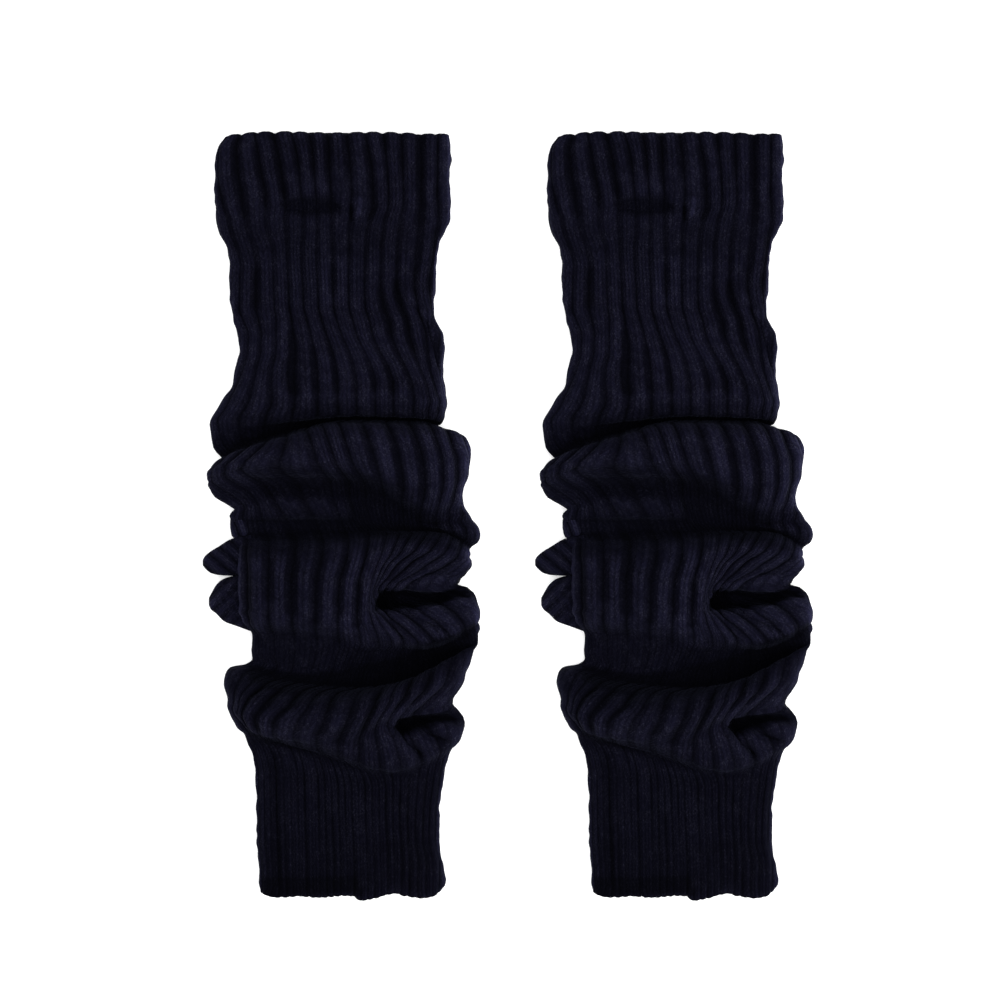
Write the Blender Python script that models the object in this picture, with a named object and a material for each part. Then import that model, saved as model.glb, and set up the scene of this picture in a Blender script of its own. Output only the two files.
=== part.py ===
"""A pair of chunky rib-knit leg warmers, laid flat side by side and scrunched at the calf.

Each leg warmer is one knitted tube, open at the cuff and at the ankle. It lies on its back: the
underside is flat, the top shows fourteen wide ribs, and the calf is pushed down into three rolls
with tucks between them. Inside a roll the hidden layers are one rounded solid, with the flat
opening of the tube running on beneath them. Lengths are in millimetres until the mesh is made;
X is across the leg, Y runs up towards the cuff and Z is up from the surface it lies on.
"""

from collections.abc import Callable
from typing import NamedTuple

import bpy
import numpy as np

MM = 0.001
LEG_PITCH = 200.0  # from one leg warmer's centre line to the other's

WIDE_RIBS = 14  # ribs across the front; at the ankle each one parts into two fine ribs
STEPS_PER_RIB = 4
WIDE_RIB = (0.0, 0.85, 1.0, 0.85)  # relief at each step of a wide rib, from groove to groove
FINE_RIB = (0.0, 1.0, 0.0, 1.0)  # the same four steps as two fine ribs
FULL_PITCH = 8.0  # where the ribs are bunched closer than this, their relief shrinks with them

SIDE_STEPS = 8  # points down each side, from its widest line to the floor
FLOOR_STEPS = 5  # points across the flat underside
SIDE_SHARE = 0.45  # the widest line of a side, as a share of the height above it
ROUNDING = (0.4, 1.5)  # radius of a shoulder: a share of its height, plus a little
UNDERCUT = (0.45, 1.5)  # how far in the foot of a side stands, in the same way

BACK_PANEL = 2.8  # thickness of the cloth that lies on the surface
FRONT_PANEL = 2.8  # thickness of the cloth over the opening, at a groove
LEAST_OPENING = 0.7
MOST_OPENING = 3.5
SIDE_WALL = 4.5
INNER_EVERY = 2  # the plain inside has one ring for this many outside
INNER_STEPS = 6
SHARP_FROM = 1.0  # radians


class Section(NamedTuple):
    """A line across the front, read at five stations: left edge, quarter, middle, quarter, right edge."""

    name: str
    relief: float  # of the ribs above their grooves
    x: tuple[float, float, float, float, float]
    y: tuple[float, float, float, float, float]
    height: tuple[float, float, float, float, float]  # of the grooves
    extra: int = 0  # rings added between this section and the next


SECTIONS = (
    # name, relief of the ribs,
    # then at the five stations x, y and the height of the grooves, and last the extra rings
    Section("top_edge", 1.8,
            (-71, -45.5, -8, 30.5, 64), (225.5, 229.5, 230, 229.5, 226), (8, 9.5, 9.5, 9.5, 8)),
    Section("cuff_upper", 2.0,
            (-74.5, -44, -7.5, 31, 65), (217, 219.5, 220, 219.5, 217), (9, 11, 11.5, 11, 9)),
    Section("cuff_middle", 2.0,
            (-76.5, -41.5, -7, 31.5, 63.5), (200, 202, 202.5, 202, 200), (10, 12, 12.5, 12, 10)),
    Section("cuff_gather", 1.6,
            (-76, -38, -6.5, 32, 65), (184, 184, 184.5, 184.5, 184), (10, 10, 9.5, 11, 10)),
    Section("cuff_lower", 2.0,
            (-74, -37.5, -6.5, 31, 64), (173.5, 174.5, 175, 174.5, 173.5), (10, 11.5, 11.5, 11.5, 10)),
    Section("leg_notch", 2.0,
            (-67, -37, -5.5, 26.5, 57.5), (158, 159.5, 159.5, 159.5, 157.5), (8.5, 9.5, 9.5, 9.5, 8.5)),
    Section("leg_upper", 2.0,
            (-67.5, -37, -5, 27.5, 55.5), (139.5, 139.5, 139.5, 139.5, 139.5), (9, 10, 10, 10, 9)),
    Section("leg_middle", 2.0,
            (-65.5, -37.5, -2.5, 31.5, 54.5), (119, 119, 119, 119, 120.5), (9.5, 10.5, 10.5, 10.5, 8.5)),
    Section("leg_swell", 2.0,
            (-61.5, -37.5, 1.5, 37.5, 60.5), (102.5, 102.5, 102.5, 102.5, 103), (10, 11.5, 11.5, 11, 9)),
    Section("leg_lower", 2.0,
            (-64, -37, 5.5, 43, 59.5), (85.5, 85.5, 86, 86, 86), (11, 13.5, 13.5, 13, 10.5)),
    Section("lobe_upper", 2.0,
            (-71, -36.5, 9.5, 47.5, 62), (68, 69.5, 71, 70.5, 69.5), (14, 18, 18.5, 18, 13.5)),
    Section("lobe_crest", 2.0,
            (-78.5, -40.5, 7.5, 47.5, 61.5), (52, 59, 64.5, 63.5, 61.5), (15, 20.5, 22, 21, 15.5)),
    Section("lobe_lip", 1.4,
            (-78.5, -45.5, 4, 47, 59), (41.5, 50.5, 59, 58, 56), (11, 14, 15, 14.5, 11.5)),
    Section("crease_1", 0.6,
            (-73, -49, 0.5, 46.5, 58), (34.5, 45.5, 55, 53.5, 52), (6.5, 6.5, 6.5, 6.5, 6.5)),
    Section("roll_1_rise", 1.4,
            (-74.5, -50.5, -1.5, 46.5, 68), (30.5, 41, 51.5, 50, 48.5), (10, 16, 18, 17, 13)),
    Section("roll_1_top", 2.0,
            (-78.5, -50, -1, 47.5, 75.5), (26, 35.5, 45.5, 44, 42.5), (13, 25, 28, 26, 19)),
    Section("roll_1_crest", 2.0,
            (-80.5, -47, 3.5, 51.5, 77), (21.5, 28, 34.5, 34, 33.5), (14, 29, 32, 30, 21)),
    Section("roll_1_front", 2.0,
            (-80, -43.5, 8, 53, 74.5), (16, 19, 23, 22.5, 22), (12, 26.5, 29, 27.5, 19)),
    Section("roll_1_dip", 1.6,
            (-77, -39.5, 11.5, 52.5, 70.5), (10, 12, 14.5, 13, 11), (9, 17, 17, 22.5, 17.5)),
    Section("roll_1_lower", 1.6,
            (-63.5, -37, 13.5, 49.5, 74.5), (4, 3.5, 5, 2.5, 1), (7.5, 19.5, 15, 19.5, 18.5)),
    Section("roll_1_lip", 1.2,
            (-65, -33.5, 14, 49.5, 81.5), (-3.5, -5.5, -2.5, -4.5, -9.5), (7, 14, 12, 13, 17)),
    Section("crease_2", 0.6,
            (-61.5, -25.5, 16, 53.5, 79), (-14.5, -12.5, -8, -10.5, -20.5), (6.5, 6.5, 6.5, 6.5, 7)),
    Section("roll_2_rise", 1.4,
            (-60.5, -23, 17, 56, 76.5), (-18.5, -16, -11.5, -14, -23.5), (14, 16, 17, 15, 11)),
    Section("roll_2_top", 2.0,
            (-59, -22, 17.5, 57.5, 77.5), (-22.5, -20.5, -17, -19, -26.5), (20, 25, 26, 22, 14)),
    Section("roll_2_crest", 2.0,
            (-58.5, -22, 17.5, 53.5, 77.5), (-29, -29, -26.5, -26, -30.5), (23, 28, 29, 25, 15), 1),
    Section("roll_2_upper", 2.0,
            (-58.5, -22.5, 17.5, 42.5, 74.5), (-37.5, -39.5, -38.5, -37.5, -34.5), (23, 28, 28, 22, 13), 1),
    Section("dent_1", 1.4,
            (-58, -22.5, 16, 28, 70), (-46.5, -48.5, -49.5, -50.5, -39.5), (23, 28, 26.5, 11, 9)),
    Section("roll_2_lower", 2.0,
            (-57.5, -22.5, 16, 31, 75.5), (-54.5, -57.5, -59, -57.5, -46.5), (22, 27, 26.5, 20, 14)),
    Section("roll_2_fold", 2.0,
            (-55.5, -22, 14.5, 41.5, 78.5), (-61.5, -64.5, -67.5, -64.5, -53.5), (18.5, 24, 25, 22.5, 16.5)),
    Section("roll_2_lip", 1.4,
            (-53.5, -21.5, 12.5, 49.5, 80), (-67, -69.5, -74, -70.5, -60.5), (12, 15.5, 17, 17, 15.5)),
    Section("band_upper", 0.8,
            (-53.5, -21.5, 10, 53.5, 81.5), (-72.5, -73.5, -79, -75.5, -64.5), (7.5, 8, 8.5, 9.5, 12.5)),
    Section("band_lower", 1.0,
            (-53.5, -23, 9.5, 55.5, 82), (-82, -86, -89.5, -82.5, -68), (7.5, 8, 8.5, 9.5, 12.5)),
    Section("crease_3", 0.6,
            (-57.5, -32, 9.5, 56.5, 82), (-89.5, -97.5, -100, -90.5, -71.5), (6.5, 6.5, 6.5, 7.5, 11)),
    Section("roll_3_rise", 1.4,
            (-67.5, -36.5, 8.5, 57.5, 81.5), (-93.5, -101, -104, -95, -76.5), (9.5, 13, 17, 17, 15.5)),
    Section("roll_3_top", 2.0,
            (-70, -40.5, 7.5, 57.5, 79.5), (-98, -106, -109.5, -101, -83), (13, 21.5, 26, 25, 19.5)),
    Section("roll_3_crest", 2.0,
            (-70, -44, 5, 55.5, 74), (-106, -113.5, -118, -110, -94.5), (15.5, 26, 31, 28, 20.5)),
    Section("roll_3_front", 2.0,
            (-68, -46.5, 2, 49.5, 69.5), (-113.5, -121.5, -127, -119, -106.5), (14.5, 24, 28.5, 25, 17)),
    Section("dent_2", 1.4,
            (-66.5, -47.5, -0.5, 35, 67.5), (-119.5, -127, -133, -127, -116), (12.5, 20, 25, 12, 10.5)),
    Section("roll_3_lower", 1.8,
            (-64, -47.5, -2, 29.5, 72.5), (-125, -131, -138.5, -136.5, -125), (9.5, 15.5, 20, 18.5, 14)),
    Section("roll_3_lip", 1.2,
            (-61, -45.5, -2.5, 29.5, 68), (-130.5, -135.5, -143, -146.5, -137.5), (7.5, 10, 13, 14, 11)),
    Section("ankle_top", 0.6,
            (-55, -34.5, 1, 32, 62.5), (-139, -142.5, -148, -153.5, -146), (7, 7.5, 7.5, 7.5, 7)),
    Section("ankle_upper", 0.9,
            (-51.5, -23, 4.5, 32.5, 60.5), (-163, -163, -163.5, -164, -163), (7, 8, 8, 8, 7)),
    Section("ankle_middle", 0.9,
            (-50.5, -23.5, 3.5, 30.5, 57.5), (-187, -187, -187, -187, -187), (7, 8, 8, 8, 7)),
    Section("ankle_lower", 0.9,
            (-49.5, -22.5, 4.5, 32, 59.5), (-209, -209, -209, -209, -209), (7, 8, 8, 8, 7)),
    Section("ankle_edge", 0.8,
            (-49, -22, 5, 32, 59.5), (-226, -227.5, -229.5, -228.5, -226), (6.5, 7.5, 7.5, 7.5, 6.5)),
)
STATIONS = np.linspace(0.0, 1.0, 5)
FIRST_FINE = [section.name for section in SECTIONS].index("ankle_top")


class Tuck(NamedTuple):
    """A fold of the lower layer that pokes out beyond the left side, under the second roll."""

    name: str
    y: float  # its tip
    reach: float  # from the side to the tip
    above: float  # from the tip up to where it ends
    below: float
    thickness: float


TUCKS = (
    # name, y of the tip, reach, extent above, extent below, thickness
    Tuck("small", -7.5, 4.0, 6.0, 7.0, 8.0),
    Tuck("upper", -28.0, 24.5, 17.0, 9.5, 11.0),
    Tuck("lower", -53.5, 24.5, 16.0, 19.5, 12.0),
)
TUCK_BLEND = 6.0  # a reach shorter than this is only part of the way to a tuck's own shape
TUCK_RISE = 4.0  # the most that a tuck stands above the widest line of the side it comes from
TUCK_OUTLINE = (
    # one for each step down the side: share of the reach outwards, share of the thickness upwards
    (-0.04, 1.15),
    (0.15, 1.0),
    (0.42, 0.98),
    (0.68, 0.9),
    (0.88, 0.75),
    (1.0, 0.42),
    (0.97, 0.12),
    (0.9, 0.0),
)


def smooth_through(knots: np.ndarray, values: np.ndarray, at: np.ndarray) -> np.ndarray:
    """Reads a smooth curve through the knots that never overshoots them."""
    widths = np.diff(knots)
    slopes = np.diff(values, axis=0) / widths.reshape((-1,) + (1,) * (values.ndim - 1))
    before, after = slopes[:-1], slopes[1:]
    agree = before * after > 0
    total = np.where(agree, before + after, 1.0)
    inner = np.where(agree, 2 * before * after / total, 0.0)
    tangents = np.concatenate([slopes[:1], inner, slopes[-1:]])
    span = np.clip(np.searchsorted(knots, at, side="right") - 1, 0, len(widths) - 1)
    shape = (-1,) + (1,) * (values.ndim - 1)
    step = widths[span].reshape(shape)
    part = ((at - knots[span]) / widths[span]).reshape(shape)
    start = (1 + 2 * part) * (1 - part) ** 2 * values[span]
    end = part**2 * (3 - 2 * part) * values[span + 1]
    leave = part * (1 - part) ** 2 * step * tangents[span]
    arrive = part**2 * (part - 1) * step * tangents[span + 1]
    return start + end + leave + arrive


def quarter_round(part: np.ndarray) -> tuple[np.ndarray, np.ndarray]:
    """A quarter circle from its upright end to its level one: how far in and how far up, each from 0 to 1."""
    inwards = part**2 * (2 - part)
    return inwards, np.sqrt(np.clip(inwards * (2 - inwards), 0, 1))


class Rings(NamedTuple):
    """The rings' lines across the front, at every step of every rib."""

    x: np.ndarray
    y: np.ndarray
    height: np.ndarray
    relief: np.ndarray
    fine: np.ndarray


def read_rings() -> Rings:
    """Reads every ring from the sections, across at each rib step and along at each extra ring."""
    places = []
    for index, section in enumerate(SECTIONS):
        count = section.extra + 1
        places += [index + step / count for step in range(count)]
    at = np.array(places, float)
    sections = np.arange(len(SECTIONS), dtype=float)
    across = np.linspace(0.0, 1.0, WIDE_RIBS * STEPS_PER_RIB + 1)

    def field(name: str) -> np.ndarray:
        table = np.array([getattr(section, name) for section in SECTIONS], float)
        rows = smooth_through(sections, table, at)
        return smooth_through(STATIONS, rows.T, across).T

    relief = np.array([section.relief for section in SECTIONS], float)
    return Rings(
        field("x"),
        field("y"),
        field("height"),
        smooth_through(sections, relief, at),
        np.clip(at - FIRST_FINE + 1, 0, 1),
    )


def rounded_front(rings: Rings) -> np.ndarray:
    """The points of the front at the bottom of the grooves, rounded off at both sides."""
    left, right = rings.x[:, :1], rings.x[:, -1:]
    x, height = rings.x.copy(), rings.height.copy()
    for edge, inwards, end in ((left, 1.0, 0), (right, -1.0, -1)):
        top = rings.height[:, [end]]
        radius = ROUNDING[0] * top + ROUNDING[1]
        depth = (rings.x - edge) * inwards / radius
        along, up = quarter_round(np.clip(depth, 0, 1))
        near = depth < 1
        side = SIDE_SHARE * top
        x = np.where(near, edge + inwards * radius * along, x)
        height = np.where(near, side + (rings.height - side) * up, height)
    return np.stack([x, rings.y, height], axis=2)


def tuck_reach(y: np.ndarray) -> tuple[np.ndarray, np.ndarray]:
    """How far a tuck pokes out at each y, and how thick it is there."""
    reach, thickness = np.zeros_like(y), np.full_like(y, TUCKS[0].thickness)
    for tuck in TUCKS:
        up = np.clip(1 - ((y - tuck.y) / tuck.above) ** 2, 0, 1)
        down = np.sqrt(np.clip(1 - ((tuck.y - y) / tuck.below) ** 2, 0, 1))
        own = tuck.reach * np.where(y > tuck.y, up, down)
        thickness = np.where(own > reach, tuck.thickness, thickness)
        reach = np.maximum(reach, own)
    return reach, thickness


def side_points(edge: np.ndarray, y: np.ndarray, top: np.ndarray, outwards: float) -> np.ndarray:
    """Points down one side, from just under its widest line to the floor."""
    part = np.linspace(0, 1, SIDE_STEPS + 1)[None, 1:]
    side = SIDE_SHARE * top[:, None]
    foot = UNDERCUT[0] * side + UNDERCUT[1]
    along, down = quarter_round(part)
    x = edge[:, None] - outwards * foot * along
    z = side * (1 - down)
    return np.stack([x, np.broadcast_to(y[:, None], x.shape), z], axis=2)


def tucked_side(points: np.ndarray, edge: np.ndarray, y: np.ndarray) -> np.ndarray:
    """Draws the left side's points out into the tucks: over the flat of each, round its edge and back."""
    reach, thickness = tuck_reach(y)
    share = np.array(TUCK_OUTLINE)
    tongue_x = edge[:, None] - reach[:, None] * share[None, :, 0]
    tongue_z = thickness[:, None] * share[None, :, 1]
    blend = np.clip(reach / TUCK_BLEND, 0, 1)[:, None]
    blend = blend**2 * (3 - 2 * blend)
    drawn = points.copy()
    drawn[:, :, 0] += blend * (tongue_x - points[:, :, 0])
    tongue_z = np.minimum(tongue_z, points[:, :1, 2] + TUCK_RISE)
    drawn[:, :, 2] += blend * (tongue_z - points[:, :, 2])
    drawn[:, -1, 2] = 0.0
    return drawn


def rib_wave(rings: Rings) -> np.ndarray:
    """How far each point round the outside is raised by its rib: fully on the front, less down the sides."""
    front_steps = np.arange(rings.x.shape[1])
    side_steps = np.arange(1, SIDE_STEPS + 1)
    floor = np.zeros(FLOOR_STEPS - 1)
    fade = 1 - side_steps / SIDE_STEPS
    waves = []
    for profile in (WIDE_RIB, FINE_RIB):
        rib = np.array(profile)
        side = rib[side_steps % STEPS_PER_RIB] * fade
        waves.append(np.concatenate([rib[front_steps % STEPS_PER_RIB], side, floor, side[::-1]]))
    wide, fine = waves
    share = rings.fine[:, None]
    return rings.relief[:, None] * (wide * (1 - share) + fine * share)


def outer_rings(rings: Rings) -> np.ndarray:
    """Whole rings of the outside: over the front, down the right, along the floor and up the left."""
    front = rounded_front(rings)
    left = side_points(rings.x[:, 0], rings.y[:, 0], rings.height[:, 0], -1.0)
    left = tucked_side(left, rings.x[:, 0], rings.y[:, 0])
    right = side_points(rings.x[:, -1], rings.y[:, -1], rings.height[:, -1], 1.0)
    share = np.linspace(0, 1, FLOOR_STEPS + 1)[None, 1:-1, None]
    floor = right[:, -1:] + (left[:, -1:] - right[:, -1:]) * share
    columns = (rings.y.shape[1] - 1) * (1 - share[0, :, 0])
    floor[:, :, 1] = rings.y[:, np.round(columns).astype(int)]
    grooves = np.concatenate([front, right, floor, left[:, ::-1]], axis=1)

    ahead = np.roll(grooves, -1, axis=1) - np.roll(grooves, 1, axis=1)
    length = np.hypot(ahead[:, :, 0], ahead[:, :, 2])
    crowding = np.clip(0.5 * length * STEPS_PER_RIB / FULL_PITCH, 0, 1)
    raised = rib_wave(rings) * crowding / length
    grooves[:, :, 0] -= raised * ahead[:, :, 2]
    grooves[:, :, 2] = np.maximum(grooves[:, :, 2] + raised * ahead[:, :, 0], 0.0)
    return grooves


def window(values: np.ndarray, pick: Callable) -> np.ndarray:
    """The least or the most, as pick says, of each ring's value and its neighbours' up to the next inner ring."""
    near = range(-INNER_EVERY, INNER_EVERY + 1)
    last = len(values) - 1
    return pick([values[np.clip(np.arange(last + 1) + step, 0, last)] for step in near], axis=0)


def inner_rings(rings: Rings) -> np.ndarray:
    """Rings of the plain inside: a low flat opening between the front and the cloth under it."""
    columns = np.linspace(0, rings.x.shape[1] - 1, INNER_STEPS + 1).round().astype(int)
    left = window(rings.x[:, 0], np.max) + SIDE_WALL
    right = window(rings.x[:, -1], np.min) - SIDE_WALL
    x = left[:, None] + (right - left)[:, None] * np.linspace(0, 1, INNER_STEPS + 1)[None]
    y = rings.y[:, columns]
    gap = window(rings.height[:, columns], np.min) - FRONT_PANEL - BACK_PANEL
    gap = np.clip(gap, LEAST_OPENING, MOST_OPENING)
    gap[:, [0, -1]] = LEAST_OPENING / 2
    ceiling = np.stack([x, y, BACK_PANEL + gap], axis=2)
    under = np.stack([x, y, np.full_like(x, BACK_PANEL)], axis=2)[:, -2:0:-1]
    whole = np.concatenate([ceiling, under], axis=1)
    chosen = list(range(0, len(whole) - 1, INNER_EVERY)) + [len(whole) - 1]
    return whole[chosen]


def band_faces(first: list[int], second: list[int]) -> list[tuple[int, ...]]:
    """Quads between two rings of as many points, facing out where they run over the front left to right."""
    count = len(first)
    return [
        (first[i], second[i], second[(i + 1) % count], first[(i + 1) % count]) for i in range(count)
    ]


def round_shares(front: int, back: int) -> list[float]:
    """Shares round a ring: half of it for the front's steps, and half for the way back underneath."""
    over = [0.5 * step / front for step in range(front)]
    return over + [0.5 + 0.5 * step / back for step in range(back + 1)]


def rim_faces(outer: list[int], inner: list[int]) -> list[tuple[int, ...]]:
    """Triangles between an outer and an inner ring, keeping pace by how far round each point is."""
    front_steps = WIDE_RIBS * STEPS_PER_RIB
    outer_share = round_shares(front_steps, len(outer) - front_steps)
    inner_share = round_shares(INNER_STEPS, len(inner) - INNER_STEPS)
    faces: list[tuple[int, ...]] = []
    i = j = 0
    while i < len(outer) or j < len(inner):
        next_outer = outer_share[i + 1] if i < len(outer) else 2.0
        next_inner = inner_share[j + 1] if j < len(inner) else 2.0
        here, there = outer[i % len(outer)], inner[j % len(inner)]
        if next_outer <= next_inner:
            faces.append((here, outer[(i + 1) % len(outer)], there))
            i += 1
        else:
            faces.append((here, inner[(j + 1) % len(inner)], there))
            j += 1
    return faces


def leg_mesh() -> bpy.types.Mesh:
    """One leg warmer: its ribbed outside, its plain inside and the two rims that join them."""
    rings = read_rings()
    outer, inner = outer_rings(rings), inner_rings(rings)
    around, inside = outer.shape[1], inner.shape[1]
    points = np.concatenate([outer.reshape(-1, 3), inner.reshape(-1, 3)])
    points[:, :2] -= 0.5 * (points[:, :2].min(axis=0) + points[:, :2].max(axis=0))
    first_inner = len(outer) * around

    def ring(index: int) -> list[int]:
        return list(range(index * around, (index + 1) * around))

    def bore(index: int) -> list[int]:
        start = first_inner + index * inside
        return list(range(start, start + inside))

    faces: list[tuple[int, ...]] = []
    for index in range(len(outer) - 1):
        faces += band_faces(ring(index), ring(index + 1))
    for index in range(len(inner) - 1):
        faces += band_faces(bore(index + 1), bore(index))
    faces += rim_faces(ring(0), bore(0))
    ankle_rim = rim_faces(ring(len(outer) - 1), bore(len(inner) - 1))
    faces += [face[::-1] for face in ankle_rim]

    mesh = bpy.data.meshes.new("leg_warmer")
    mesh.from_pydata((points * MM).tolist(), [], faces)
    mesh.shade_smooth()
    mesh.set_sharp_from_angle(angle=SHARP_FROM)
    mesh.validate()
    return mesh


def knit_material() -> bpy.types.Material:
    """Near-black navy yarn."""
    material = bpy.data.materials.new("navy_knit")
    material.use_nodes = True
    shader = material.node_tree.nodes["Principled BSDF"]
    shader.inputs["Base Color"].default_value = (0.006, 0.006, 0.013, 1.0)
    shader.inputs["Roughness"].default_value = 0.9
    shader.inputs["Metallic"].default_value = 0.0
    return material


def main() -> None:
    """Clears the scene and lays the two leg warmers side by side."""
    for thing in list(bpy.data.objects):
        bpy.data.objects.remove(thing)
    pair = bpy.data.collections.new("leg_warmers")
    bpy.context.scene.collection.children.link(pair)
    mesh = leg_mesh()
    mesh.materials.append(knit_material())
    for name, side in (("leg_warmer_left", -0.5), ("leg_warmer_right", 0.5)):
        leg = bpy.data.objects.new(name, mesh)
        leg.location = (side * LEG_PITCH * MM, 0.0, 0.0)
        pair.objects.link(leg)


main()
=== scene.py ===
"""Dresses a pair of chunky rib-knit leg warmers, laid flat side by side and scrunched at the calf.

Each leg warmer is one knitted tube. Its outside is read from sections across the front,
ribbed all round, folded over at the lips of the rolls and joined to a plain inside at both mouths.
Loose tucks poke out on the left, and short fibres stand off the yarn. Lengths in the tables are in
millimetres in a leg warmer's own frame: X across it, Y up towards the cuff, Z up from the surface.
"""

import logging
import math
from dataclasses import dataclass
from enum import Enum
from typing import NamedTuple

import bpy
import numpy as np
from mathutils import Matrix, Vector


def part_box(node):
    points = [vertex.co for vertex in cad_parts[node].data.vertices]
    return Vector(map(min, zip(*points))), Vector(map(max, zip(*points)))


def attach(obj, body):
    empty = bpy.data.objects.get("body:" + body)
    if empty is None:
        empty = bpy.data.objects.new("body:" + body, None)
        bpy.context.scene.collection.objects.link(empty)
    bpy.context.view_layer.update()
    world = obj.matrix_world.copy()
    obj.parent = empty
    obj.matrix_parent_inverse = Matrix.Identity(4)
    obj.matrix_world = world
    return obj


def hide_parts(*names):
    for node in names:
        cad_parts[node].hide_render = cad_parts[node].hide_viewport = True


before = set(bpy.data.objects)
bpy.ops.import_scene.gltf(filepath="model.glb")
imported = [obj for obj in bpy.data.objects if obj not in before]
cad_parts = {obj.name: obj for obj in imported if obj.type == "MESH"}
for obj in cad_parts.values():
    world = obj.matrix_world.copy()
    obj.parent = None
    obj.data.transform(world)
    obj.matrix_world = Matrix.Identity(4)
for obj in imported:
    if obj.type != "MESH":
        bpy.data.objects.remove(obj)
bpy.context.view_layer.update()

log = logging.getLogger("leg_warmers")

MM = 0.001
BODY = "root"

# Seeds of what is uneven on purpose.
DRIFT_SEED = 5
LEFT_SEED = 7
RIGHT_SEED = 9
CUFF_SEED = 8


class Section(NamedTuple):
    """A line across the front of the leg warmer, from its left edge to its right one."""

    name: str
    relief: float  # of the ribs above their grooves
    x: tuple[float, ...]  # at the grooves that GROOVES names
    y: tuple[float, ...]  # at the five stations
    height: tuple[float, ...]  # of the grooves, at the five stations


RIBS = 14  # across the front; at the ankle each one parts into two fine ribs
GROOVES = np.array([0.0, 1.0, 3.0, 5.0, 7.0, 9.0, 11.0, 13.0, 14.0])
STATIONS = np.array([0.0, 3.5, 7.0, 10.5, 14.0])

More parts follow.
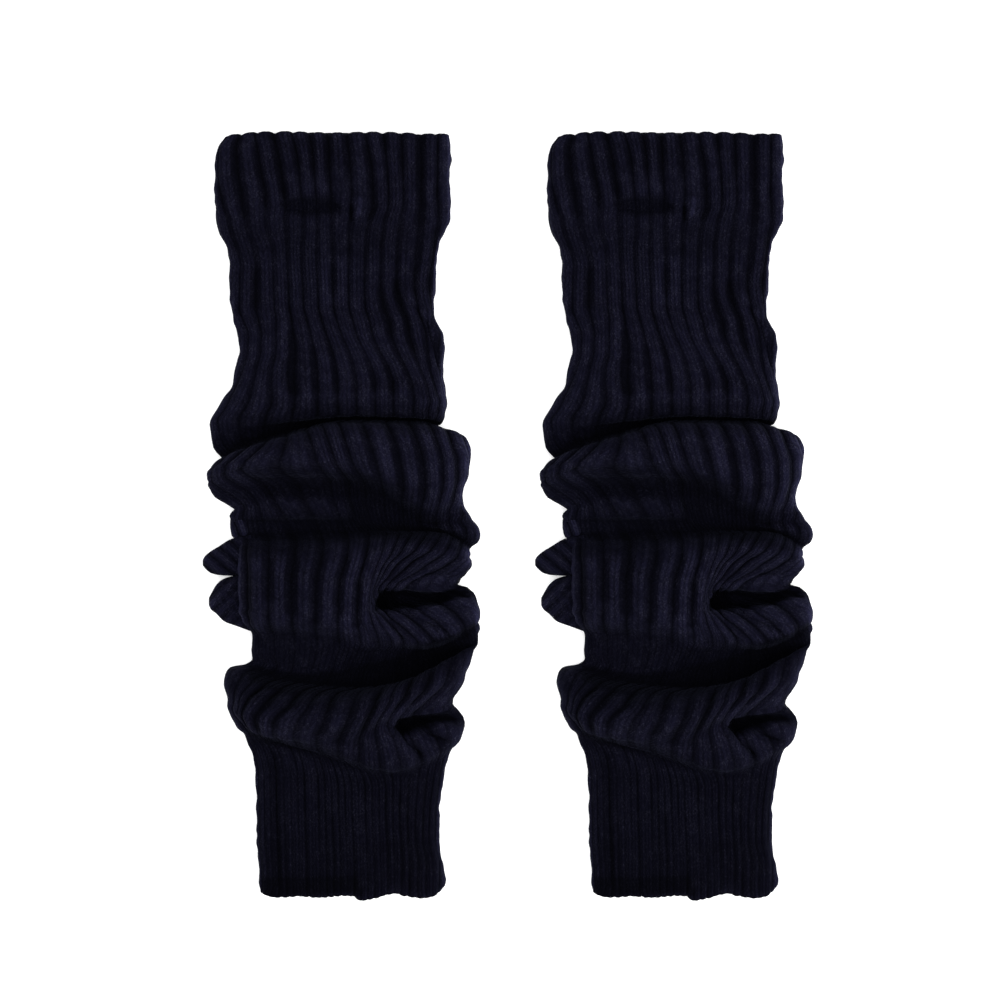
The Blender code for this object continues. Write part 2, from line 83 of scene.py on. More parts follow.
SECTIONS = (
    Section("top_edge", 1.9,
            (-71, -69, -53, -31, -9.5, 13.5, 35, 57, 62.5),
            (225.5, 227.5, 227.8, 227.8, 226.5), (8, 9.5, 9.5, 9.5, 8)),
    Section("cuff_upper", 2.3,
            (-75, -73, -51.5, -28.5, -8.5, 15, 35.5, 57, 64),
            (218, 220, 220, 220, 218), (9, 11, 11.5, 11, 9)),
    Section("cuff_middle", 2.5,
            (-76.5, -73.5, -49, -26, -8, 17.5, 36, 57, 62.5),
            (205,) * 5, (10, 12, 12.5, 12, 10)),
    Section("cuff_low", 2.3,
            (-76.5, -72.5, -46.5, -25, -7, 18, 36.5, 56.5, 63.5),
            (191.5, 191.5, 192, 192.5, 192.5), (10.5, 12.5, 12.5, 12.5, 10.5)),
    Section("cuff_gather", 1.8,
            (-76, -71.5, -46.5, -24, -7.5, 18, 36, 57, 64.5),
            (184.5, 184, 184, 185, 185), (10, 11.5, 11.5, 11.5, 10.5)),
    Section("cuff_lower", 1.5,
            (-75.5, -69.5, -47, -24.5, -7.5, 15.5, 34, 57, 64),
            (177.5, 177, 177, 177.5, 178), (10, 11.5, 11.5, 11.5, 10.5)),
    Section("cuff_foot", 1.2,
            (-74, -68, -46, -24.5, -7.5, 13.5, 33, 55.5, 60.5),
            (169.5, 169, 169, 169, 170), (9.5, 10.5, 10.5, 10.5, 9.5)),
    Section("leg_notch", 1.5,
            (-69, -64.5, -43, -25.5, -7, 13, 32, 54, 57),
            (160.5,) * 5, (8.5, 9, 9, 9, 8.5)),
    Section("leg_upper", 2,
            (-67, -61.5, -42, -25, -6.5, 13, 32, 52.5, 55.5),
            (149,) * 5, (9, 9.5, 10, 9.5, 9)),
    Section("leg_high", 2.1,
            (-67.5, -62, -41.5, -24, -6, 13, 32, 51.5, 55),
            (137,) * 5, (9, 10, 10.5, 10, 8.5)),
    Section("leg_middle", 2.1,
            (-66.5, -62, -41, -23.5, -5.5, 13.5, 35, 52, 54),
            (124.5,) * 5, (9.5, 10.5, 10.5, 10, 8.5)),
    Section("leg_turn", 2.1,
            (-64.5, -59.5, -40, -21.5, -3.5, 16, 38.5, 53.5, 55.5),
            (116,) * 5, (9.5, 10.5, 11, 10.5, 9)),
    Section("leg_swell", 2.2,
            (-62, -56.5, -40, -19, -0.5, 18, 40, 57, 59.5),
            (107,) * 5, (9.5, 11, 11.5, 11, 9)),
    Section("leg_swell_low", 2.2,
            (-61, -56.5, -40, -17, 4, 22.5, 43, 57, 60),
            (97,) * 5, (10, 11.5, 12, 11.5, 9.5)),
    Section("leg_lower", 2.3,
            (-63, -58.5, -42, -15.5, 7, 27.5, 46.5, 56.5, 58.5),
            (87.5,) * 5, (11, 13, 13.5, 13, 10.5)),
    Section("lobe_upper", 2.3,
            (-65.5, -61.5, -42.5, -15, 8.5, 30.5, 50.5, 57.5, 59.5),
            (77, 77.5, 77.5, 77.5, 77.5), (13, 15.5, 16, 15.5, 12)),
    Section("lobe_middle", 2.3,
            (-69.5, -65, -42, -14.5, 8.5, 30.5, 51.5, 58.5, 60.5),
            (69.5, 71.5, 72.5, 72.5, 71), (14.5, 18.5, 19.5, 18.5, 14)),
    Section("lobe_crest", 2.1,
            (-75, -69.5, -42.5, -15, 8.5, 30.5, 52.5, 59.5, 61),
            (61, 66.5, 68, 67.5, 65), (14, 19, 20.5, 19.5, 14.5)),
    Section("lobe_brow", 1.7,
            (-79, -74.5, -45.5, -15, 8.5, 30.5, 51.5, 59, 60),
            (53, 61, 63.5, 62.5, 59.5), (12, 15.5, 17, 16.5, 12.5)),
    Section("lobe_lip", 1.1,
            (-79, -74, -47, -15.5, 8.5, 30.5, 51.5, 57.5, 59),
            (46.5, 56, 59.5, 58, 54.5), (9.5, 10.5, 12, 12, 10)),
    Section("lobe_under", 0.6,
            (-78, -73, -47.5, -16.5, 7.5, 30.5, 50, 57, 57),
            (40, 54, 59, 58, 53), (7.5, 7, 7.5, 7.5, 8)),
    Section("crease_1", 0.5,
            (-74, -69.5, -47.5, -19, 5, 29, 49.5, 56, 58.5),
            (35, 48.5, 56.5, 56, 50), (6, 5.5, 6, 6, 6.5)),
    Section("roll_1_rise", 1.2,
            (-71.5, -66, -45.5, -22, -2.5, 26, 51.5, 63.5, 66.5),
            (32, 44.5, 54, 53.5, 47), (8, 11.5, 13.5, 12.5, 10.5)),
    Section("roll_1_top", 2.2,
            (-76, -69.5, -46.5, -20, -1, 28, 53.5, 69.5, 72.5),
            (29, 42.5, 51, 50.5, 44), (11, 20, 23, 21.5, 16.5)),
    Section("roll_1_crest", 2.4,
            (-78.5, -73.5, -52.5, -17.5, 2, 31.5, 57, 72, 75),
            (25, 36.5, 43.5, 42.5, 37.5), (13, 26.5, 30, 28.5, 21)),
    Section("roll_1_front", 2.5,
            (-80, -76.5, -58, -15.5, 5, 34, 60, 73.5, 75),
            (22, 31.5, 35, 31.5, 30.5), (13.5, 27, 29, 30, 22)),
    Section("roll_1_fall", 2.3,
            (-80, -77, -60.5, -13, 7.5, 36, 60.5, 72, 73),
            (19.5, 28.5, 29, 19.5, 20), (12.5, 23, 24, 28, 21)),
    Section("roll_1_brow", 1.8,
            (-80, -77, -57.5, -10, 11, 36.5, 58.5, 69.5, 70.5),
            (17, 25, 24, 8.5, 11), (11, 19, 18.5, 22.5, 19.5)),
    Section("roll_1_lip", 1.3,
            (-79.5, -75, -53.5, -8, 13, 36, 57, 69.5, 72.5),
            (14.5, 22.5, 20, 2.5, 4), (9, 15.5, 13, 16, 18)),
    Section("roll_1_foot", 1,
            (-79, -73, -50, -7.5, 13.5, 36, 56, 71, 74.5),
            (13, 20, 16.5, -1, 0.5), (7, 13, 9.5, 12, 17)),
    Section("recess", 0.9,
            (-77, -68.5, -46.5, -7, 13.5, 36, 56, 70.5, 76.5),
            (10, 17, 12.5, -4, -3.5), (6.5, 11.5, 8, 9.5, 16.5)),
    Section("pillow_rise", 1.2,
            (-70.5, -63, -43.5, -6.5, 13.5, 36, 56, 71.5, 78.5),
            (6.5, 13, 8.5, -5, -5.5), (7.5, 13.5, 8, 7.5, 16.5)),
    Section("pillow_crest", 1.8,
            (-64.5, -58.5, -39.5, -4.5, 14.5, 36.5, 56.5, 74, 81),
            (2.5, 6.5, 3, -6.5, -9.5), (8, 16.5, 9.5, 7.5, 16.5)),
    Section("pillow_lip", 1.3,
            (-68, -60, -35, -2, 16, 36.5, 58, 74.5, 81.5),
            (-1.5, -0.5, -2, -7.5, -13.5), (7.5, 13, 10, 7, 14)),
    Section("pillow_under", 0.6,
            (-67.5, -60, -33.5, -1, 17, 36.5, 58, 74.5, 80.5),
            (-5, -4, -5, -9, -17), (6.5, 7, 6.5, 6.5, 10)),
    Section("crease_2", 0.5,
            (-64.5, -59, -31, 1, 22, 37.5, 58, 72.5, 77.5),
            (-11.5, -10, -9.5, -10.5, -19.5), (6, 5.5, 5.5, 5.5, 7)),
    Section("roll_2_rise", 1.2,
            (-62, -57, -28.5, 3, 26.5, 42, 59, 71, 75.5),
            (-16.5, -15, -13, -12.5, -22), (10, 9, 10, 11, 10)),
    Section("roll_2_top", 2,
            (-61, -56, -27.5, 4, 26, 40, 57.5, 70, 75.5),
            (-20.5, -20, -17.5, -16, -24.5), (16, 17, 19, 19.5, 13.5)),
    Section("roll_2_crest", 2.6,
            (-60.5, -55.5, -28.5, 3, 23.5, 35.5, 52.5, 68.5, 76),
            (-26.5, -26.5, -25, -21.5, -27.5), (22, 25.5, 27.5, 25, 15.5)),
    Section("roll_2_upper", 2.8,
            (-60.5, -55, -29.5, 1, 20.5, 28, 42.5, 63, 76),
            (-32.5, -32, -31.5, -28, -30.5), (23, 28, 29, 24.5, 15.5)),
    Section("roll_2_middle", 2.8,
            (-60.5, -55, -30.5, -1.5, 17.5, 22.5, 33.5, 52, 73),
            (-40, -40, -41, -36.5, -35), (23, 28, 28.5, 22.5, 14)),
    Section("dent_1_brow", 2.6,
            (-60.5, -55, -30.5, -2, 16.5, 18.5, 26, 41, 69.5),
            (-46, -46.5, -47, -44, -38.5), (23, 28, 27.5, 23, 16)),
    Section("dent_1", 2.4,
            (-60, -55, -30.5, -2.5, 16, 18, 23.5, 36.5, 68),
            (-50.5, -51.5, -52, -50.5, -42.5), (23, 27.5, 26.5, 21, 13)),
    Section("dent_1_chin", 2.5,
            (-60, -54.5, -30.5, -2, 16, 19, 27, 43, 74.5),
            (-55, -56, -56.5, -57.5, -45), (22.5, 27.5, 27, 23, 16)),
    Section("roll_2_lower", 2.7,
            (-59.5, -55, -30, -2.5, 17, 23.5, 37.5, 57.5, 78.5),
            (-58.5, -59.5, -61, -62, -50), (22, 26.5, 27, 24.5, 18)),
    Section("roll_2_fold", 2.4,
            (-59, -54.5, -30, -2.5, 19, 30.5, 48.5, 69, 80.5),
            (-62.5, -64.5, -67, -69.5, -56.5), (19, 22, 24, 23, 18)),
    Section("roll_2_lip", 1.8,
            (-57.5, -53.5, -29.5, -2.5, 21.5, 36.5, 54.5, 73, 81.5),
            (-66.5, -68.5, -73.5, -76.5, -62.5), (14, 16.5, 18.5, 18, 16)),
    Section("roll_2_foot", 1.2,
            (-56, -52, -29, -2, 22, 36.5, 54.5, 73, 80.5),
            (-69, -72.5, -78.5, -79.5, -65), (10, 11.5, 12, 11, 13)),
    Section("band_upper", 0.5,
            (-55, -50.5, -29, -2, 18.5, 35, 53.5, 74, 82),
            (-73, -77, -82.5, -81.5, -67.5), (8.5, 9.5, 9, 7.5, 11.5)),
    Section("band_lower", 0.4,
            (-55, -50.5, -29.5, -4.5, 16, 34, 55.5, 75, 81.5),
            (-82, -87.5, -89, -85, -70.5), (7, 8, 7, 6, 10)),
    Section("crease_3", 0.5,
            (-55, -47.5, -31, -7, 12, 32.5, 58, 76, 81.5),
            (-87.5, -94.5, -96.5, -89.5, -73), (5.5, 5, 4.5, 4.5, 9)),
    Section("crease_3_foot", 0.5,
            (-58.5, -51.5, -36.5, -10.5, 10.5, 32.5, 58, 75, 81.5),
            (-90.5, -100, -104, -96.5, -76.5), (5.5, 5, 4.5, 5, 10)),
    Section("roll_3_rise", 1.2,
            (-64.5, -58, -44.5, -21, -1, 25, 44, 67, 79.5),
            (-92, -103, -107.5, -100, -79.5), (8, 10, 11.5, 13, 14)),
    Section("roll_3_top", 2.2,
            (-68.5, -61, -48.5, -26, -5, 23, 41.5, 65, 76.5),
            (-94.5, -106, -111, -103.5, -85.5), (12, 16.5, 19, 21, 18.5)),
    Section("roll_3_crest", 2.7,
            (-70, -63.5, -57, -32, -8.5, 19.5, 37.5, 61.5, 72.5),
            (-103, -113, -116.5, -110, -95), (15.5, 24.5, 29, 28, 21)),
    Section("roll_3_front", 2.7,
            (-68, -64, -60, -40.5, -11, 16, 32.5, 54, 70),
            (-112, -121, -124, -116, -104), (15, 24.5, 30, 27.5, 18)),
    Section("dent_2_brow", 2.5,
            (-67, -63, -58.5, -41.5, -13, 13.5, 28.5, 48, 66.5),
            (-117.5, -125, -127.5, -121, -110), (13.5, 22, 28, 26.5, 17)),
    Section("dent_2", 2.3,
            (-65.5, -60.5, -57, -41.5, -14.5, 12, 26.5, 42.5, 65),
            (-121.5, -128, -130.5, -125.5, -114.5), (11.5, 19, 25, 22, 14)),
    Section("dent_2_chin", 2.3,
            (-64, -59, -55, -41, -15.5, 10.5, 27, 42, 68),
            (-124.5, -130, -133.5, -130, -118), (10, 16, 22, 21, 15)),
    Section("roll_3_lower", 2.1,
            (-62, -57.5, -52, -39.5, -15.5, 10, 31, 52, 72),
            (-128, -130.5, -135.5, -137, -125.5), (9.5, 13.5, 18.5, 20.5, 17)),
    Section("roll_3_lip", 1.5,
            (-60, -56, -50, -38, -15, 10, 35, 58.5, 69),
            (-130.5, -132.5, -139, -152, -136), (8, 11, 14, 15.5, 13)),
    Section("roll_3_foot", 0.9,
            (-59, -55.5, -48.5, -37, -14.5, 10.5, 35, 57.5, 65),
            (-133, -134.5, -142, -154.5, -140.5), (7, 8, 9.5, 10.5, 9.5)),
    Section("ankle_top", 0.6,
            (-56.5, -52, -37, -20.5, -4, 14.5, 34.5, 56, 63),
            (-138.5, -139, -148, -158, -146), (6.5, 7, 7.5, 8, 7)),
    Section("ankle_high", 0.9,
            (-52.5, -47.5, -31.5, -15, 1, 17.5, 34.5, 54, 60),
            (-155.5, -157.5, -164.5, -165.5, -160.5), (7, 7.5, 7.5, 7.5, 7)),
    Section("ankle_middle", 0.9,
            (-51.5, -47, -31, -14.5, 1.5, 17.5, 34, 52, 57.5),
            (-182.5,) * 5, (7, 8, 8, 8, 7)),
    Section("ankle_waist", 0.9,
            (-51.5, -47, -30.5, -14.5, 2, 18, 34.5, 51.5, 57.5),
            (-196.5,) * 5, (7, 8, 8, 8, 7)),
    Section("ankle_lower", 0.9,
            (-50.5, -46, -30.5, -14, 2.5, 18.5, 35, 54, 60),
            (-210.5,) * 5, (7, 8, 8, 8, 7)),
    Section("ankle_foot", 0.9,
            (-50, -45.5, -30, -14, 2.5, 19, 35, 54, 60.5),
            (-222.5, -223, -223, -223, -222.5), (6.5, 7.5, 7.5, 7.5, 6.5)),
    Section("ankle_edge", 0.9,
            (-49.5, -46.5, -29.5, -13.5, 2.5, 19, 35, 54, 58.5),
            (-227.5, -230, -230.5, -230, -227.5), (6, 7, 7, 7, 6)),
)
FIRST_FINE = [section.name for section in SECTIONS].index("ankle_top")


class Tuck(NamedTuple):
    """A loose fold of the layer underneath, poking out beyond the left side."""

    name: str
    rows: tuple[tuple[float, float, float, float], ...]  # x, upper y, lower y and thickness, from the tip
    ribs_lean: float  # direction in which the ribs follow each other, in degrees from X


TUCKS = (
    Tuck("small",
         ((-68.0, -4.0, -8.5, 3.0), (-67.0, -0.5, -13.0, 5.5), (-64.0, 1.0, -15.5, 7.5),
          (-60.0, 1.0, -16.0, 7.5), (-54.0, -1.0, -14.0, 5.0)),
         20.0),
    Tuck("upper",
         ((-84.5, -27.5, -31.0, 3.0), (-83.0, -25.3, -32.8, 6.0), (-79.5, -22.4, -35.6, 8.5),
          (-74.5, -19.4, -36.8, 10.5), (-67.0, -15.0, -37.2, 11.5), (-55.0, -12.5, -37.5, 12.0)),
         50.0),
    Tuck("lower",
         ((-80.8, -50.5, -55.0, 3.0), (-79.5, -48.2, -57.4, 6.5), (-76.0, -42.4, -60.2, 9.5),
          (-71.5, -38.9, -64.6, 11.5), (-63.5, -37.0, -67.6, 12.5), (-54.0, -37.5, -71.0, 13.0)),
         -45.0),
)


MIDDLE = (-0.5, 0.25, 0.0)  # of the solid's box, in the frame of the tables

# Where along the ribs, and how far the ankle's edge stands back there.
ANKLE_EDGE = ((0, 0.9), (1.5, -0.8), (2.4, 0), (3.2, 1.3), (4.3, 0.6), (5.45, 0.9), (6.7, 2),
              (7.4, 1.8), (8, -1.2), (9.2, 0.2), (9.75, 1.7), (10.75, 3), (11.3, 1), (12.4, -1.3),
              (13.2, -1), (14, 2.1))


class Shade(NamedTuple):
    """How cloth that lies below its surroundings is shaded, at one scale."""

    reach: float  # how far around a point its surroundings go
    least: float  # depth below them that isn't shaded yet
    most: float  # depth that is shaded fully
    share: float  # of the light that is lost there


SHADES = (Shade(6.0, 0.5, 9.0, 1.0), Shade(2.2, 0.3, 4.0, 0.6))


class Pit(NamedTuple):
    """A hollow that the cloth sinks into, outlined from above."""

    name: str
    outline: tuple[tuple[float, float], ...]
    floor: float  # height of its bottom
    bank: float  # how far its banks reach


PITS = (
    Pit("gather",
        ((-35, 186), (-27, 187.5), (-16, 187.5), (-7, 186.5), (-4, 185), (-7, 183.5),
         (-16, 183), (-27, 183), (-34, 184)),
        8.5, 5.5),
    Pit("dent_1",
        ((19.5, -55.5), (20, -51.5), (21.5, -47.5), (25.5, -46), (35, -46), (59, -47), (70, -44),
         (74.5, -47), (74.5, -50), (68, -50.5), (62, -53), (53, -55), (44.5, -56.5), (23, -57.5)),
        6.2, 2.6),
    Pit("recess",
        ((9, 5.5), (18.5, 6), (27, 4), (34, -0.5), (41, -5.5), (33, -7), (18.5, -6.5), (9, -3.5)),
        6.8, 9.0),
    Pit("dent_2",
        ((30.5, -128.5), (32.5, -124), (37.5, -122), (49.5, -120.5), (61.5, -119.5), (68,
         -121.5), (70, -125), (64, -125.5), (54.5, -125.5), (47, -128), (40, -131), (34, -131.5)),
        6.2, 2.4),
)


class PaintedLightPatch(NamedTuple):
    """A stretch of cloth outlined from above: painted shade where it is darker than the rest, painted light
    where it is paler.
    """

    name: str
    change: float  # of its tone, as a share: painted shade below nothing, painted light above
    spread: float  # how far it fades out
    outline: tuple[tuple[float, float], ...]


PAINTED_LIGHT_PATCHES = (
    PaintedLightPatch("cuff_middle", -0.12, 8,
          ((-37, 218), (-2, 221), (-2, 191), (-34, 191))),
    PaintedLightPatch("gather", -0.4, 6,
          ((-34, 189), (-15, 190.5), (-5, 189), (-3, 182), (-27, 182))),
    PaintedLightPatch("below_gather", -0.12, 8,
          ((-61, 175), (-25, 178.5), (35, 177.5), (50, 167), (35, 157), (-58, 155))),
    PaintedLightPatch("gather_spark", 1.2, 3,
          ((7, 188.5), (11.5, 188.5), (11, 180.5), (7.5, 179.5))),
    PaintedLightPatch("cuff_bloom", 0.15, 6,
          ((-25, 201.5), (-11.5, 201.5), (-11.5, 193), (-25, 193))),
    PaintedLightPatch("leg_bloom", 0.5, 6,
          ((-9.5, 151), (4, 151), (2.5, 129.5), (-9.5, 129.5))),
    PaintedLightPatch("left_leg", -0.12, 8,
          ((-61, 170), (-32, 170), (-32, 110), (-58, 110))),
    PaintedLightPatch("lobe_bloom", 0.5, 5,
          ((-17.5, 93.5), (-1, 93.5), (2, 71), (-20, 71))),
    PaintedLightPatch("roll_1_right", 0.65, 8,
          ((11, 49), (68, 44), (71, 8), (38, 8), (20, 26))),
    PaintedLightPatch("roll_1_left", -0.1, 8,
          ((-47.5, 41), (-7, 44), (-4, 26), (-46, 26))),
    PaintedLightPatch("under_roll_1", -0.5, 5,
          ((-52, 23.5), (-25, 25), (-1, 23.5), (18.5, 20), (18.5, 13), (-2, 13), (-46, 13))),
    PaintedLightPatch("recess", -0.6, 9,
          ((2, 20), (18.5, 19), (32, 14.5), (40, 6.5), (47, -1), (54.5, -6.5), (54.5, -11), (35,
           -9.5), (18.5, -8), (6.5, -5.5))),
    PaintedLightPatch("pillow", -0.33, 4,
          ((-58, 10.5), (-2, 10), (5, -2.5), (-58, -4))),
    PaintedLightPatch("crease_2", -0.35, 3,
          ((-34, -7), (-1, -7), (18.5, -9.5), (35, -11), (53, -16), (68, -20.5), (53, -19.5), (35,
          -13.5), (18.5, -12.5), (-1, -15.5), (-31, -16))),
    PaintedLightPatch("roll_2_top", -0.45, 6,
          ((-61, -13), (-25, -13.5), (-25, -20), (-61, -22.5))),
    PaintedLightPatch("roll_2_bright", 0.45, 6,
          ((1, -22), (8.5, -22), (14.5, -37), (13.5, -58), (18.5, -76), (5, -76))),
    PaintedLightPatch("roll_2_fan", 0.2, 6,
          ((17, -19), (65, -23), (66.5, -37), (23, -44.5))),
    PaintedLightPatch("roll_2_lobe", 0.15, 5,
          ((20, -61), (35, -58), (66.5, -68.5), (50, -74.5), (32, -77))),
    PaintedLightPatch("band_left", -0.1, 4,
          ((-52, -73), (2, -76), (2, -91), (-50, -89))),
    PaintedLightPatch("band_right", -0.45, 4,
          ((2, -83), (35, -83), (50, -79), (59, -77), (41, -89), (2, -92.5))),
    PaintedLightPatch("crease_3", -0.9, 3.5,
          ((-55, -92), (-34, -96.5), (-19, -97.5), (-1, -95.5), (11, -92.5), (26, -89), (38, -86),
           (47, -81.5), (54.5, -77.5), (68, -74), (78.5, -67), (70, -78.5), (60.5, -87.5), (53,
           -92), (42.5, -97.5), (32, -101.5), (20, -105.5), (5, -107.5), (-16, -107.5), (-31,
           -106.5), (-43, -103.5), (-55, -98.5))),
    PaintedLightPatch("roll_3_top", -0.4, 6,
          ((-68, -92.5), (-58, -95), (-47.5, -106), (-25, -112), (5, -112), (26, -108.5), (47,
           -100), (62, -89), (62, -92.5), (47, -106), (26, -113), (5, -115.5), (-25, -116), (-50,
           -113), (-65.5, -106))),
    PaintedLightPatch("roll_3", -0.27, 8,
          ((-25, -113), (-7, -115), (17, -112), (17, -136), (-7, -139), (-25, -133))),
    PaintedLightPatch("lip_line", -0.1, 2,
          ((-53.5, -132.5), (-40, -133.5), (-25, -137.5), (-13, -142.5), (-25.5, -139), (-40,
          -135.5), (-53.5, -134))),
    PaintedLightPatch("lip_bright", -0.3, 4,
          ((34, -146), (47, -145.5), (47, -152), (34, -151.5))),
    PaintedLightPatch("ankle", -0.33, 6,
          ((-44, -151), (2, -161), (50, -157), (50, -223), (-44, -223))),
    PaintedLightPatch("ankle_left", -0.3, 3,
          ((-43, -145), (-38.5, -145), (-37.5, -220), (-41.5, -220))),
    PaintedLightPatch("ankle_low", -0.26, 8,
          ((-43, -199), (50, -199), (50, -227.5), (-43, -227.5))),
    PaintedLightPatch("crease_1", -0.3, 3,
          ((-64.5, 39.5), (-58, 44), (-50, 47.5), (-31, 53), (-7, 56.5), (2, 56.5), (2, 54.5),
           (-7, 54.5), (-28, 50), (-47.5, 44), (-61, 38.5))),
    PaintedLightPatch("roll_2_left", 0.15, 6,
          ((-47.5, -31), (-4, -31), (-4, -67), (-47.5, -67))),
    PaintedLightPatch("roll_3_brink", -0.3, 5,
          ((-25, -137), (2, -146), (32, -146), (32, -151.5), (2, -151.5), (-25, -142))),
    PaintedLightPatch("brink_left", -0.2, 4,
          ((-55, -131.5), (-25, -136.5), (-25, -139.5), (-55, -135.5))),
    PaintedLightPatch("flank", -0.6, 5,
          ((72.5, -76), (80.5, -72.5), (77, -92.5), (70, -112), (65, -112), (68, -92.5))),
    PaintedLightPatch("leg_shine", 0.4, 4,
          ((42.5, 171.5), (49.5, 171.5), (46, 146), (42.5, 116), (38.5, 116), (42.5, 146))),
    PaintedLightPatch("leg_lower", 0.12, 8,
          ((-34, 110), (41, 110), (41, 73), (-34, 73))),
    PaintedLightPatch("lobe", -0.15, 5,
          ((-64, 69.5), (-25, 68), (53, 68), (53, 60.5), (-25, 60.5), (-61, 53))),
    PaintedLightPatch("left_flank", -0.35, 3,
          ((-61, -22), (-57.5, -22), (-56.5, -59), (-61, -59))),
    PaintedLightPatch("roll_3_end", -0.35, 4,
          ((-70, -92.5), (-66.5, -90.5), (-65, -119), (-69.5, -112))),
    PaintedLightPatch("lobe_low", -0.14, 4,
          ((44, -129), (66, -129), (62, -140), (46, -142))),
    PaintedLightPatch("hem", -0.85, 4,
          ((-47, -220), (8.5, -220), (10, -227.5), (-47, -228.5))),
)


class Fold(NamedTuple):
    """A soft ridge along a line on the front, or a trough where it rises by less than nothing."""

    name: str
    line: tuple[tuple[float, float], ...]  # downwards
    rise: float
    reach: tuple[float, float]  # how far it spreads to the left and to the right of its line


FOLDS = (
    Fold("gather_spot", ((5.0, 184.0), (5.0, 178.0)), -2.8, (1.8, 1.8)),
    Fold("gather_bump", ((9.5, 188.0), (9.5, 180.5)), 2.4, (2.6, 2.6)),
    Fold("leg_fold",
         ((35.0, 135.5), (42.5, 128.5), (47.5, 122.0), (52.5, 116.0), (56.0, 108.5), (58.0, 99.5)),
         2.4, (1.3, 1.8)),
    Fold("leg_trough", ((51.5, 115.0), (53.0, 107.0), (54.5, 98.0), (55.5, 89.0)), -3.4, (1.8, 1.8)),
    Fold("lobe_1", ((23.0, -58.0), (29.0, -64.0), (36.5, -73.0)), -4.2, (2.2, 2.2)),
    Fold("lobe_2", ((32.0, -58.5), (42.5, -61.0), (50.5, -65.0), (61.0, -69.5)), -3.6, (1.9, 1.9)),
    Fold("lobe_3", ((11.5, -62.0), (14.5, -68.5), (18.5, -76.0)), -2.2, (1.7, 1.7)),
    Fold("lobe_4", ((59.0, -56.0), (69.5, -56.0)), -2.2, (1.4, 1.4)),
    Fold("fan_1", ((43.0, -25.5), (28.0, -38.5)), -1.4, (1.3, 1.3)),
    Fold("fan_2", ((54.5, -31.0), (41.0, -41.0)), -1.6, (1.3, 1.3)),
    Fold("fan_3", ((66.5, -32.0), (54.5, -42.5)), -1.6, (1.3, 1.3)),
    Fold("fan_upper", ((41.0, -128.5), (50.5, -132.0), (61.0, -134.5)), -5.6, (2.3, 2.3)),
    Fold("fan_lower", ((33.0, -131.5), (39.0, -138.0), (46.5, -143.5)), -5.6, (2.2, 2.2)),
    Fold("ankle_left", ((-41.5, -143.0), (-40.5, -172.0), (-39.5, -220.0)), -1.7, (2.0, 2.0)),
    Fold("ankle_right", ((51.5, -160.0), (50.5, -190.0), (52.0, -214.0)), -1.5, (1.8, 1.8)),
    Fold("ankle_tip", ((57.5, -199.5), (58.0, -220.0)), -1.0, (1.2, 1.2)),
)


class DeepGroove(NamedTuple):
    """A stretch of a groove between two ribs that is deeper and wider than the rest."""

    groove: int
    start: str  # the sections it runs between
    end: str
    depth: float


DEEP_GROOVES = (
    DeepGroove(1, "cuff_low", "leg_notch", 0.8),
    DeepGroove(2, "top_edge", "cuff_lower", 1.0),
    DeepGroove(2, "leg_upper", "leg_middle", 1.0),
    DeepGroove(3, "cuff_upper", "cuff_gather", 0.7),
    DeepGroove(4, "top_edge", "cuff_low", 0.9),
    DeepGroove(4, "leg_swell", "lobe_middle", 1.2),
    DeepGroove(5, "cuff_upper", "cuff_middle", 0.7),
    DeepGroove(5, "leg_swell_low", "lobe_middle", 0.8),
    DeepGroove(6, "top_edge", "cuff_middle", 1.0),
    DeepGroove(6, "leg_swell_low", "lobe_middle", 0.6),
    DeepGroove(7, "top_edge", "cuff_middle", 0.9),
    DeepGroove(7, "leg_upper", "leg_high", 0.9),
    DeepGroove(8, "top_edge", "cuff_middle", 0.8),
    DeepGroove(8, "leg_lower", "lobe_middle", 0.7),
    DeepGroove(9, "cuff_upper", "cuff_lower", 1.0),
    DeepGroove(9, "leg_lower", "lobe_middle", 0.8),
    DeepGroove(10, "top_edge", "cuff_upper", 0.8),
    DeepGroove(10, "leg_high", "leg_swell", 1.1),
    DeepGroove(11, "top_edge", "cuff_middle", 0.8),
    DeepGroove(11, "leg_high", "leg_swell_low", 1.3),
    DeepGroove(12, "top_edge", "leg_upper", 1.3),
    DeepGroove(12, "leg_upper", "leg_high", 0.8),
    DeepGroove(13, "cuff_foot", "leg_high", 1.0),
    DeepGroove(8, "roll_1_top", "roll_1_fall", 0.8),
    DeepGroove(9, "roll_1_top", "roll_1_brow", 0.9),
    DeepGroove(10, "roll_1_rise", "roll_1_brow", 1.0),
    DeepGroove(11, "roll_1_rise", "roll_1_brow", 1.0),
    DeepGroove(12, "roll_1_top", "roll_1_brow", 0.8),
    DeepGroove(1, "roll_2_top", "roll_2_fold", 0.8),
    DeepGroove(2, "roll_2_crest", "dent_1", 1.0),
    DeepGroove(3, "roll_2_crest", "roll_2_lower", 1.1),
    DeepGroove(4, "roll_2_crest", "roll_2_fold", 0.8),
    DeepGroove(5, "roll_2_crest", "roll_2_lower", 0.9),
    DeepGroove(6, "roll_2_middle", "roll_2_fold", 0.7),
    DeepGroove(3, "roll_3_top", "roll_3_lower", 1.0),
    DeepGroove(4, "roll_3_top", "dent_2", 1.1),
    DeepGroove(5, "roll_3_top", "dent_2_brow", 0.8),
    DeepGroove(7, "roll_3_top", "dent_2", 0.7),
    DeepGroove(8, "roll_3_crest", "roll_3_lower", 0.9),
    DeepGroove(9, "roll_3_top", "dent_2", 0.9),
    DeepGroove(11, "roll_3_top", "roll_3_front", 0.9),
    DeepGroove(12, "roll_3_top", "roll_3_front", 1.0),
)


